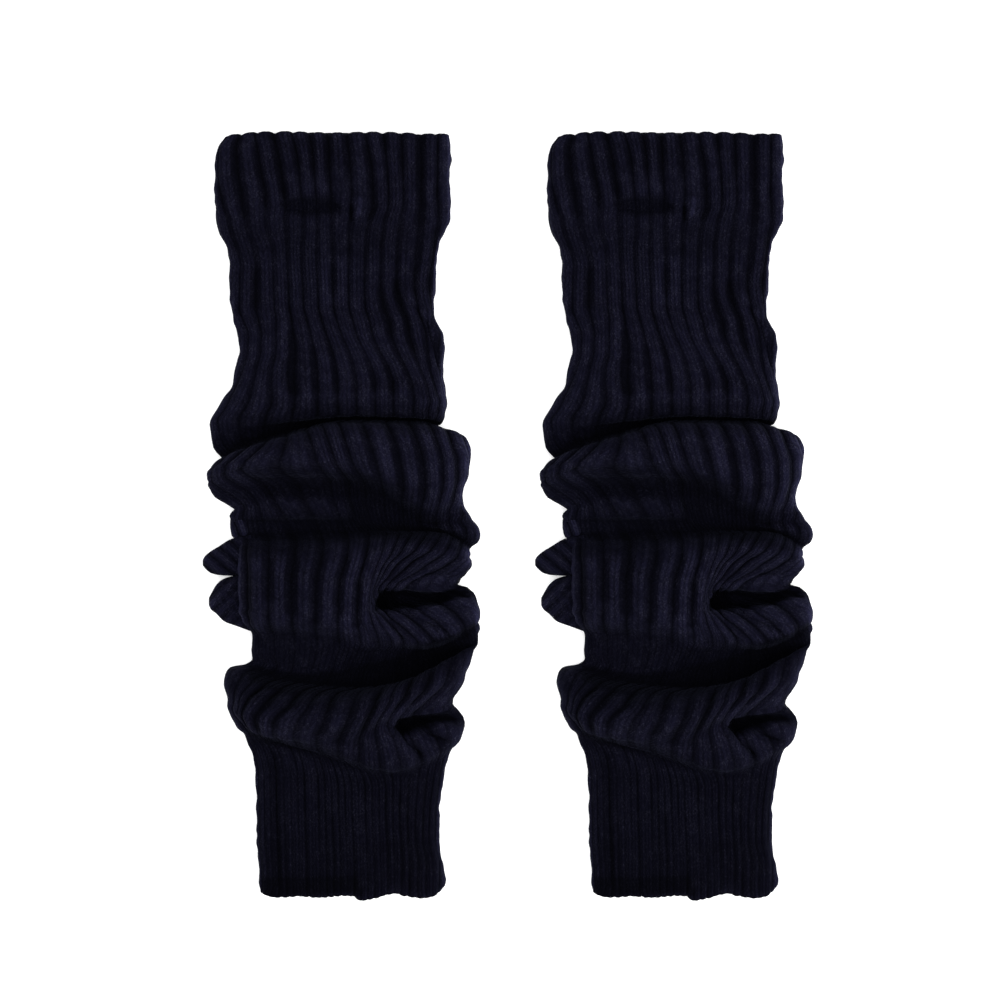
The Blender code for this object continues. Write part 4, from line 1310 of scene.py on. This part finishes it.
class MeshMaker:
    """Collects grids of knit and makes one mesh of them, with the knit's map on it."""

    LAST_COURSE = 2.0  # from the last ring of a tube to its first, in mm
    END_CREST = 0.5  # at both ends of a lobe
    # painted shade on the caps at both ends of a lobe
    END_PAINTED_LIGHT = 0.8

    def __init__(self) -> None:
        """Starts with nothing."""
        self.points: list[np.ndarray] = []
        self.faces: list[np.ndarray] = []
        self.maps: list[np.ndarray] = []
        self.crests: list[np.ndarray] = []
        self.painted_lights: list[np.ndarray] = []
        self.slots: list[np.ndarray] = []
        self.count = 0

    def add(self, points: np.ndarray, faces: np.ndarray, corners: np.ndarray, crest: np.ndarray,
            clear: np.ndarray, slots: np.ndarray) -> None:
        """Adds quads.

        Args:
            points: Positions, in mm.
            faces: Four point numbers a face, from 0.
            corners: A place on the knit's map for each corner of each face.
            crest: One value a point.
            clear: One value a point, the painted shade and light on its colour.
            slots: Which material each face takes.
        """
        self.points.append(points)
        self.faces.append(faces + self.count)
        self.maps.append(corners)
        self.crests.append(crest)
        self.painted_lights.append(clear)
        self.slots.append(slots)
        self.count += len(points)

    def add_tube(self, knit: Knit, last_outer: int) -> None:
        """Adds a grid that closes on itself both ways.

        Args:
            knit: The grid.
            last_outer: Rings past this one are the inside.
        """
        rings, columns = knit.points.shape[:2]
        ring, column = np.meshgrid(np.arange(rings), np.arange(columns), indexing="ij")
        ring, column = ring.ravel(), column.ravel()
        below, beside = (ring + 1) % rings, (column + 1) % columns
        faces = np.stack([ring * columns + column, below * columns + column,
                          below * columns + beside, ring * columns + beside], axis=1)
        rib_next = np.where(beside == 0, 2.0 * RIBS, knit.rib[beside])
        here = knit.course[ring, column]
        corners = np.empty((len(faces), 4, 2))
        corners[:, 0] = np.stack([knit.rib[column], here], axis=1)
        corners[:, 1] = np.stack([knit.rib[column], knit.course[below, column]], axis=1)
        corners[:, 2] = np.stack([rib_next, knit.course[below, beside]], axis=1)
        corners[:, 3] = np.stack([rib_next, knit.course[ring, beside]], axis=1)
        wrapped = below == 0
        corners[wrapped, 1, 1] = here[wrapped] + self.LAST_COURSE
        corners[wrapped, 2, 1] = knit.course[ring, beside][wrapped] + self.LAST_COURSE
        slots = np.where(ring > last_outer, 1, 0)
        self.add(knit.points.reshape(-1, 3), faces, corners, knit.crest.ravel(), knit.open.ravel(),
                 slots)

    def add_lobe(self, knit: Knit) -> None:
        """Adds a closed lobe.

        Args:
            knit: Its rings, from its tip to its hidden root.
        """
        rings, columns = knit.points.shape[:2]
        ring, column = np.meshgrid(np.arange(rings - 1), np.arange(columns), indexing="ij")
        ring, column = ring.ravel(), column.ravel()
        beside = (column + 1) % columns
        faces = np.stack([ring * columns + column, ring * columns + beside,
                          (ring + 1) * columns + beside, (ring + 1) * columns + column], axis=1)
        index = np.stack([ring, ring, ring + 1, ring + 1], axis=1)
        around = np.stack([column, beside, beside, column], axis=1)
        corners = np.stack([knit.rib[index, around], knit.course[index, around]], axis=2)
        points = np.concatenate([knit.points.reshape(-1, 3), knit.points[[0, -1]].mean(axis=1)])
        tip, root = rings * columns, rings * columns + 1
        last = (rings - 1) * columns
        ends, end_corners = [], []
        for j in range(0, columns, 2):
            k, m = (j + 1) % columns, (j + 2) % columns
            ends.append((tip, m, k, j))
            ends.append((root, last + j, last + k, last + m))
            end_corners += [[(0.0, 0.0)] * 4] * 2
        faces = np.concatenate([faces, np.array(ends)])
        corners = np.concatenate([corners, np.array(end_corners)])
        crest = np.concatenate([knit.crest.ravel(), [self.END_CREST] * 2])
        clear = np.concatenate([knit.open.ravel(), [self.END_PAINTED_LIGHT] * 2])
        self.add(points, faces, corners, crest, clear, np.zeros(len(faces), int))

    def mesh(self, name: str, centre: np.ndarray) -> bpy.types.Mesh:
        """Makes the mesh.

        Args:
            name: Its name.
            centre: The point that becomes its origin, in mm.

        Returns:
            The mesh, in metres.
        """
        points = (np.concatenate(self.points) - centre) * MM
        faces, corners = np.concatenate(self.faces), np.concatenate(self.maps)
        made = bpy.data.meshes.new(name)
        made.from_pydata(points.tolist(), [], faces.tolist())
        layer = made.uv_layers.new(name="knit")
        layer.data.foreach_set("uv", corners.reshape(-1).astype(np.float32))
        for key, values in (("crest", self.crests), ("open", self.painted_lights)):
            attribute = made.attributes.new(key, "FLOAT", "POINT")
            attribute.data.foreach_set("value", np.concatenate(values).astype(np.float32))
        made.polygons.foreach_set("material_index", np.concatenate(self.slots).astype(np.int32))
        made.shade_smooth()
        made.update()
        return made


class Nodes:
    """A node tree with short ways to add and join nodes."""

    def __init__(self, tree: bpy.types.NodeTree) -> None:
        """Works on the given tree."""
        self.tree = tree

    def add(self, kind: str, inputs: dict | None = None, **settings: object) -> bpy.types.Node:
        """Adds a node.

        Args:
            kind: Its type, without the prefix.
            inputs: For each named or numbered input, a value or a socket to join to it.
            settings: Properties of the node.

        Returns:
            The node.
        """
        prefix = "" if kind.startswith("NodeGroup") else "ShaderNode"
        node = self.tree.nodes.new(prefix + kind)
        for key, value in settings.items():
            setattr(node, key, value)
        for key, value in (inputs or {}).items():
            if isinstance(value, bpy.types.NodeSocket):
                self.tree.links.new(value, node.inputs[key])
            else:
                node.inputs[key].default_value = value
        return node

    def math(self, operation: str, *values: object) -> bpy.types.NodeSocket:
        """Adds a Math node on values or sockets and returns its output."""
        node = self.add("Math", dict(enumerate(values)), operation=operation)
        return node.outputs[0]


class Groups:
    """The shader node groups that more than one finish uses."""

    WALE_SHAKE = 0.16  # how unevenly stitches stand, as a share of one
    LEG_RISE = 0.2  # of each loop over the next, as a share of the yarn
    LEG_WIDTH = 3.6  # the higher, the narrower is the leg of a loop
    STRAND_POWER = 2.5
    FAINT_STRAND = 0.2  # fainter ones don't show
    STRAND_GAIN = 3.5

    @staticmethod
    def new(name: str, inputs: dict[str, object], outputs: dict[str, str]
            ) -> tuple[Nodes, bpy.types.Node, bpy.types.Node]:
        """Makes an empty group.

        Args:
            name: The group's name.
            inputs: A default for each input; a triple makes a vector.
            outputs: A socket type for each output.

        Returns:
            The group's nodes, its input node and its output node.
        """
        tree = bpy.data.node_groups.new(name, "ShaderNodeTree")
        for key, value in inputs.items():
            vector = isinstance(value, tuple)
            kind = "NodeSocketVector" if vector else "NodeSocketFloat"
            socket = tree.interface.new_socket(key, in_out="INPUT", socket_type=kind)
            socket.default_value = value
        for key, kind in outputs.items():
            tree.interface.new_socket(key, in_out="OUTPUT", socket_type=kind)
        nodes = Nodes(tree)
        return nodes, nodes.add("NodeGroupInput"), nodes.add("NodeGroupOutput")

    @classmethod
    def stitches(cls) -> bpy.types.NodeTree:
        """Makes rows of V-shaped stitches over the knit's map.

        Returns:
            A group that gives their height, the gaps between them and a number for each.
        """
        nodes, given, made = cls.new(
            "knit_stitches",
            {"Map": (0.0, 0.0, 0.0), "Wales a Rib": 2.0, "Course Length": 3.2, "Slant": 2.6},
            {"Height": "NodeSocketFloat", "Gap": "NodeSocketFloat", "Loop": "NodeSocketFloat"})
        split = nodes.add("SeparateXYZ", {0: given.outputs["Map"]})
        noise = nodes.add("TexNoise", {"Vector": given.outputs["Map"], "Scale": 0.9, "Detail": 1.0})
        shake = nodes.math("MULTIPLY_ADD", noise.outputs["Fac"], cls.WALE_SHAKE, -cls.WALE_SHAKE / 2)
        wale = nodes.math("MULTIPLY", split.outputs["X"], given.outputs["Wales a Rib"])
        wale = nodes.math("ADD", nodes.math("ADD", wale, 0.5), shake)
        across = nodes.math("ABSOLUTE", nodes.math("SUBTRACT", nodes.math("FRACT", wale), 0.5))
        course = nodes.math("DIVIDE", split.outputs["Y"], given.outputs["Course Length"])
        slanted = nodes.math("MULTIPLY", across, given.outputs["Slant"])
        turn = nodes.math("ADD", nodes.math("ADD", course, slanted), shake)
        wave = nodes.math("COSINE", nodes.math("MULTIPLY", turn, 2 * math.pi))
        wave = nodes.math("MULTIPLY_ADD", wave, cls.LEG_RISE, 1 - cls.LEG_RISE)
        leg = nodes.math("MULTIPLY", nodes.math("SUBTRACT", across, 0.25), cls.LEG_WIDTH)
        round_leg = nodes.math("SUBTRACT", 1.0, nodes.math("MULTIPLY", leg, leg))
        height = nodes.math("MULTIPLY", wave, nodes.math("MAXIMUM", round_leg, 0.0))
        number = nodes.add("CombineXYZ", {0: nodes.math("FLOOR", wale), 1: nodes.math("FLOOR", turn)})
        loop = nodes.add("TexWhiteNoise", {"Vector": number.outputs[0]}, noise_dimensions="2D")
        links = nodes.tree.links
        links.new(height, made.inputs["Height"])
        links.new(nodes.math("SUBTRACT", 1.0, height), made.inputs["Gap"])
        links.new(loop.outputs["Value"], made.inputs["Loop"])
        return nodes.tree

    @classmethod
    def fibres(cls) -> bpy.types.NodeTree:
        """Makes the fine hairiness of brushed yarn.

        Returns:
            A group that gives its height and a mask of paler strands.
        """
        nodes, given, made = cls.new(
            "yarn_fibres", {"Place": (0.0, 0.0, 0.0), "Fineness": 1400.0},
            {"Height": "NodeSocketFloat", "Strand": "NodeSocketFloat"})
        coarse = nodes.add("TexNoise", {"Vector": given.outputs["Place"],
                                        "Scale": given.outputs["Fineness"], "Detail": 3.0,
                                        "Roughness": 0.65, "Distortion": 0.6})
        patch = nodes.add("TexNoise", {"Vector": given.outputs["Place"], "Scale": 160.0,
                                       "Detail": 2.0})
        strand = nodes.math("MULTIPLY", nodes.math("POWER", coarse.outputs["Fac"], cls.STRAND_POWER),
                            nodes.math("ADD", patch.outputs["Fac"], 0.5))
        nodes.tree.links.new(coarse.outputs["Fac"], made.inputs["Height"])
        clear = nodes.math("SUBTRACT", strand, cls.FAINT_STRAND)
        paler = nodes.math("MAXIMUM", nodes.math("MULTIPLY", clear, cls.STRAND_GAIN), 0.0)
        nodes.tree.links.new(paler, made.inputs["Strand"])
        return nodes.tree


def new_material(name: str, inputs: dict[str, object]
                 ) -> tuple[bpy.types.Material, Nodes, bpy.types.Node]:
    """Makes a material with the given values on its shader.

    Args:
        name: The material's name.
        inputs: A value for each named input of the shader.

    Returns:
        The material, its nodes and its shader.
    """
    made = bpy.data.materials.new(name)
    made.use_nodes = True
    shader = made.node_tree.nodes["Principled BSDF"]
    for key, value in inputs.items():
        shader.inputs[key].default_value = value
    return made, Nodes(made.node_tree), shader


class Side(Enum):
    """Which side of the knit a finish is for."""

    FACE = "face"
    REVERSE = "reverse"


@dataclass(frozen=True)
class YarnFinish:
    """Near-black navy yarn, knitted."""

    name: str
    side: Side
    # deep is the yarn under full painted shade, crest where it is painted fully lit, pale its paler
    # strands.
    deep: tuple[float, float, float, float] = (0.0005, 0.0005, 0.001, 1.0)
    crest: tuple[float, float, float, float] = (0.0037, 0.0036, 0.0091, 1.0)
    pale: tuple[float, float, float, float] = (0.027, 0.027, 0.044, 1.0)
    roughness: float = 0.92
    specular: float = 0.008
    sheen: float = 0.02
    sheen_roughness: float = 0.35
    sheen_tint: tuple[float, float, float, float] = (0.55, 0.6, 1.0, 1.0)
    reverse_slant: float = 0.25
    felting: tuple[float, float] = (0.3, 0.75)  # how clearly stitches show where the yarn felts, and least
    loop_tone: tuple[float, float] = (0.4, 0.8)  # how much it varies, and its least, as for those below
    patch_tone: tuple[float, float] = (0.5, 0.75)
    # How much the painted shade in the grooves between ribs, and the painted shade and light from the
    # cloth's attribute, change the tone, and their least.
    groove_shade_tone: tuple[float, float] = (0.85, 0.15)
    painted_light_tone: tuple[float, float] = (0.85, 0.15)
    hair: float = 0.8
    gap_roughness: float = 0.08
    stitch_bump: float = 0.9
    stitch_depth: float = 0.0006
    fibre_bump: float = 0.5
    fibre_depth: float = 0.0003

    def material(self, stitches: bpy.types.NodeTree, fibres: bpy.types.NodeTree) -> bpy.types.Material:
        """Builds the material.

        Args:
            stitches: The group that makes stitches.
            fibres: The group that makes the yarn hairy.

        Returns:
            The material.
        """
        made, nodes, shader = new_material(self.name, {
            "Roughness": self.roughness, "Specular IOR Level": self.specular,
            "Sheen Weight": self.sheen, "Sheen Roughness": self.sheen_roughness,
            "Sheen Tint": self.sheen_tint})
        place = nodes.add("TexCoord")
        knit_map = nodes.add("UVMap", uv_map="knit")
        stitch = nodes.add("Group", node_tree=stitches)
        nodes.tree.links.new(knit_map.outputs["UV"], stitch.inputs["Map"])
        if self.side is Side.REVERSE:
            stitch.inputs["Slant"].default_value = self.reverse_slant
        fibre = nodes.add("Group", node_tree=fibres)
        nodes.tree.links.new(place.outputs["Object"], fibre.inputs["Place"])
        crest = nodes.add("Attribute", attribute_name="crest")
        patch = nodes.add("TexNoise", {"Vector": place.outputs["Object"], "Scale": 45.0,
                                       "Detail": 2.0})
        felted = nodes.add("MapRange", {"Value": patch.outputs["Fac"], "From Min": 0.35,
                                        "From Max": 0.65, "To Min": self.felting[0],
                                        "To Max": self.felting[1]})
        # Painted light and shade on the yarn: stitch tops lighter than the gaps between them, grooves
        # between ribs darker by the crest, and the cloth's painted shade and light from its attribute; loop
        # and patch noise vary the tone at random.
        low = nodes.math("SUBTRACT", 1.0, felted.outputs[0])
        lit = nodes.math("MULTIPLY_ADD", stitch.outputs["Height"], felted.outputs[0], low)
        ridge = nodes.math("POWER", nodes.math("MAXIMUM", crest.outputs["Fac"], 0.0), 2.0)
        clear = nodes.add("Attribute", attribute_name="open")
        for mask, tone in ((stitch.outputs["Loop"], self.loop_tone),
                           (patch.outputs["Fac"], self.patch_tone), (ridge, self.groove_shade_tone),
                           (clear.outputs["Fac"], self.painted_light_tone)):
            lit = nodes.math("MULTIPLY", lit, nodes.math("MULTIPLY_ADD", mask, *tone))
        body = nodes.add("Mix", {0: lit, 6: self.deep, 7: self.crest}, data_type="RGBA",
                         clamp_factor=False)
        hair = nodes.math("MULTIPLY", nodes.math("MULTIPLY", fibre.outputs["Strand"], lit), self.hair)
        whole = nodes.add("Mix", {0: hair, 6: body.outputs[2], 7: self.pale}, data_type="RGBA")
        nodes.tree.links.new(whole.outputs[2], shader.inputs["Base Color"])
        rough = nodes.math("MULTIPLY_ADD", stitch.outputs["Gap"], self.gap_roughness,
                           self.roughness - self.gap_roughness / 2)
        nodes.tree.links.new(rough, shader.inputs["Roughness"])
        loops = nodes.add("Bump", {"Height": stitch.outputs["Height"], "Strength": self.stitch_bump,
                                   "Distance": self.stitch_depth})
        hairs = nodes.add("Bump", {"Height": fibre.outputs["Height"], "Strength": self.fibre_bump,
                                   "Distance": self.fibre_depth,
                                   "Normal": loops.outputs["Normal"]})
        nodes.tree.links.new(hairs.outputs["Normal"], shader.inputs["Normal"])
        return made


@dataclass(frozen=True)
class PlainFinish:
    """A finish with only a slight mottle."""

    name: str
    colour: tuple[float, float, float, float]
    mottle: float
    scale: float
    roughness: float
    specular: float
    glow: float = 0.0

    def material(self) -> bpy.types.Material:
        """Builds the material.

        Returns:
            The material.
        """
        made, nodes, shader = new_material(self.name, {
            "Roughness": self.roughness, "Specular IOR Level": self.specular,
            "Emission Color": (1.0, 1.0, 1.0, 1.0), "Emission Strength": self.glow})
        place = nodes.add("TexCoord")
        noise = nodes.add("TexNoise", {"Vector": place.outputs["Object"], "Scale": self.scale,
                                       "Detail": 2.0})
        darker = tuple(value * (1 - self.mottle) for value in self.colour[:3]) + (1.0,)
        mix = nodes.add("Mix", {0: noise.outputs["Fac"], 6: darker, 7: self.colour},
                        data_type="RGBA")
        nodes.tree.links.new(mix.outputs[2], shader.inputs["Base Color"])
        return made


FIBRE = PlainFinish("navy_fibre", colour=(0.012, 0.012, 0.02, 1.0), mottle=0.4, scale=900.0,
                    roughness=0.9, specular=0.1)
SURFACE = PlainFinish("white_surface", colour=(0.9, 0.9, 0.9, 1.0), mottle=0.02, scale=3.0,
                      roughness=0.8, specular=0.2, glow=0.35)


@dataclass
class Fuzz:
    """Short fibres standing off the yarn, as one joined mesh."""

    count: int = 9000
    length: tuple[float, float] = (0.7, 1.8)
    width: float = 0.07
    seed: int = 11
    upright: float = 0.8  # how much they follow the cloth's normal
    stray: float = 0.7  # and how much they stray from it
    jitter: float = 0.4
    sunk: float = 0.2
    least_height: float = 0.2
    lowest_root: float = 1.5
    lowest_facing: float = -0.3  # none grow where the cloth faces down by more than this

    def mesh(self, name: str, cloth: bpy.types.Mesh, material_index: int) -> bpy.types.Mesh:
        """Grows fibres on the faces of the cloth that take the given material.

        Args:
            name: The mesh's name.
            cloth: What the fibres stand on, in metres.
            material_index: Only faces with this one get fibres.

        Returns:
            One triangle for each fibre.
        """
        rng = np.random.default_rng(self.seed)
        count = len(cloth.polygons)
        area, slot = np.empty(count), np.empty(count, np.int32)
        centre, normal = np.empty(count * 3), np.empty(count * 3)
        cloth.polygons.foreach_get("area", area)
        cloth.polygons.foreach_get("material_index", slot)
        cloth.polygons.foreach_get("center", centre)
        cloth.polygons.foreach_get("normal", normal)
        centre, normal = centre.reshape(-1, 3), normal.reshape(-1, 3)
        bare = (normal[:, 2] <= self.lowest_facing) | (centre[:, 2] <= self.lowest_root * MM)
        weight = area * (slot == material_index) * ~bare
        chosen = rng.choice(count, self.count, p=weight / weight.sum())
        lean = rng.normal(size=(self.count, 3))
        along = normal[chosen] * self.upright + lean * self.stray
        along /= np.linalg.norm(along, axis=1, keepdims=True)
        across = np.cross(along, rng.normal(size=(self.count, 3)))
        across /= np.linalg.norm(across, axis=1, keepdims=True)
        long = rng.uniform(*self.length, size=(self.count, 1)) * MM
        jitter = rng.normal(size=(self.count, 3)) * self.jitter * MM
        root = centre[chosen] + jitter - normal[chosen] * self.sunk * MM
        half = across * 0.5 * self.width * MM
        tip = root + along * long
        tip[:, 2] = np.maximum(tip[:, 2], self.least_height * MM)
        root[:, 2] = np.maximum(root[:, 2], self.least_height * MM)
        points = np.stack([root - half, root + half, tip], axis=1).reshape(-1, 3)
        faces = np.arange(3 * self.count).reshape(-1, 3)
        made = bpy.data.meshes.new(name)
        made.from_pydata(points.tolist(), [], faces.tolist())
        made.update()
        return made


@dataclass
class Pair:
    """Both leg warmers, laid side by side where the model has them."""

    cut: tuple[float, float] = (0.28, 0.55)  # all round the tube, and along what shows of it

    def build(self) -> None:
        """Makes the cloth and its fibres once and lays them down twice."""
        tube = LegWarmer()
        knit = tube.whole()
        outer_rings = len(tube.section_places())
        maker = MeshMaker()
        maker.add_tube(knit, outer_rings)
        for tuck in TUCKS:
            maker.add_lobe(LooseTuck(tuck).surface())
        cloth = maker.mesh("leg_warmer_knit", np.array(MIDDLE))
        stitches, fibres = Groups.stitches(), Groups.fibres()
        cloth.materials.append(YarnFinish("navy_knit_face", Side.FACE).material(stitches, fibres))
        cloth.materials.append(YarnFinish("navy_knit_reverse", Side.REVERSE).material(stitches, fibres))
        fuzz = Fuzz().mesh("leg_warmer_fuzz", cloth, 0)
        fuzz.materials.append(FIBRE.material())
        for side in ("left", "right"):
            self.lay(side, cloth, fuzz)
        log.info("cloth: %d faces, fibres: %d", len(cloth.polygons), len(fuzz.polygons))

    def lay(self, side: str, cloth: bpy.types.Mesh, fuzz: bpy.types.Mesh) -> None:
        """Puts one leg warmer where its solid lies, names its pieces after the solid and hides the solid.

        Args:
            side: Which of the two, as its node is named.
            cloth: Its mesh.
            fuzz: The mesh of its fibres.
        """
        node = "leg_warmer_" + side
        low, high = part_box(node)
        place = Vector((0.5 * (low.x + high.x), 0.5 * (low.y + high.y), 0.0))
        for name, mesh in ((node + "_knit", cloth), (node + "_fuzz", fuzz)):
            piece = bpy.data.objects.new(name, mesh)
            piece.location = place
            bpy.context.scene.collection.objects.link(piece)
            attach(piece, BODY)
        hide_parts(node)
        log.info("%s laid at %.3f, %.3f", node, place.x, place.y)


class Lamp(NamedTuple):
    """A square soft light, aimed at the pair."""

    name: str
    place: tuple[float, float, float]
    size: float
    watts: float


@dataclass
class Studio:
    """A white surface under soft light, seen from straight above."""

    lamps: tuple[Lamp, ...] = (Lamp("key_light", (1.0, -0.5, 1.1), 0.9, 20.0),
                               Lamp("fill_light", (-1.0, -0.2, 1.2), 1.2, 4.0))
    room_light: float = 1.35
    seen_across: float = 0.6
    aim: tuple[float, float, float] = (-0.0051, 0.0081, 0.012)
    lens: float = 200.0
    sensor: float = 36.0
    floor_size: float = 8.0

    def build(self) -> None:
        """Makes floor, world, lights and camera."""
        self.floor()
        self.world()
        for lamp in self.lamps:
            self.hang(lamp)
        self.camera()
        bpy.context.scene.view_settings.view_transform = "Standard"
        log.info("studio ready")

    def floor(self) -> None:
        """Lays the white surface."""
        half = self.floor_size / 2
        mesh = bpy.data.meshes.new("floor")
        corners = [(-half, -half, 0), (half, -half, 0), (half, half, 0), (-half, half, 0)]
        mesh.from_pydata(corners, [], [(0, 1, 2, 3)])
        mesh.materials.append(SURFACE.material())
        floor = bpy.data.objects.new("floor", mesh)
        bpy.context.scene.collection.objects.link(floor)

    def world(self) -> None:
        """Fills the room with even white light."""
        world = bpy.data.worlds.new("studio")
        world.use_nodes = True
        back = world.node_tree.nodes["Background"]
        back.inputs["Color"].default_value = (1.0, 1.0, 1.0, 1.0)
        back.inputs["Strength"].default_value = self.room_light
        bpy.context.scene.world = world

    def hang(self, lamp: Lamp) -> None:
        """Hangs a light and aims it.

        Args:
            lamp: The light.
        """
        data = bpy.data.lights.new(lamp.name, "AREA")
        data.size = lamp.size
        data.energy = lamp.watts
        hung = bpy.data.objects.new(lamp.name, data)
        hung.location = lamp.place
        way = Vector(self.aim) - Vector(lamp.place)
        hung.rotation_euler = way.to_track_quat("-Z", "Y").to_euler()
        hung.visible_camera = False
        bpy.context.scene.collection.objects.link(hung)

    def camera(self) -> None:
        """Sets the camera straight above, upright, with the pair filling its view."""
        data = bpy.data.cameras.new("camera")
        data.lens = self.lens
        data.sensor_width = self.sensor
        data.clip_end = 20.0
        camera = bpy.data.objects.new("camera", data)
        height = self.seen_across * self.lens / self.sensor
        camera.location = Vector(self.aim) + Vector((0.0, 0.0, height))
        bpy.context.scene.collection.objects.link(camera)
        bpy.context.scene.camera = camera


def main() -> None:
    """Builds the pair and the studio round it."""
    logging.basicConfig(level=logging.INFO, format="%(name)s: %(message)s")
    Pair().build()
    Studio().build()


if __name__ == "__main__":
    main()
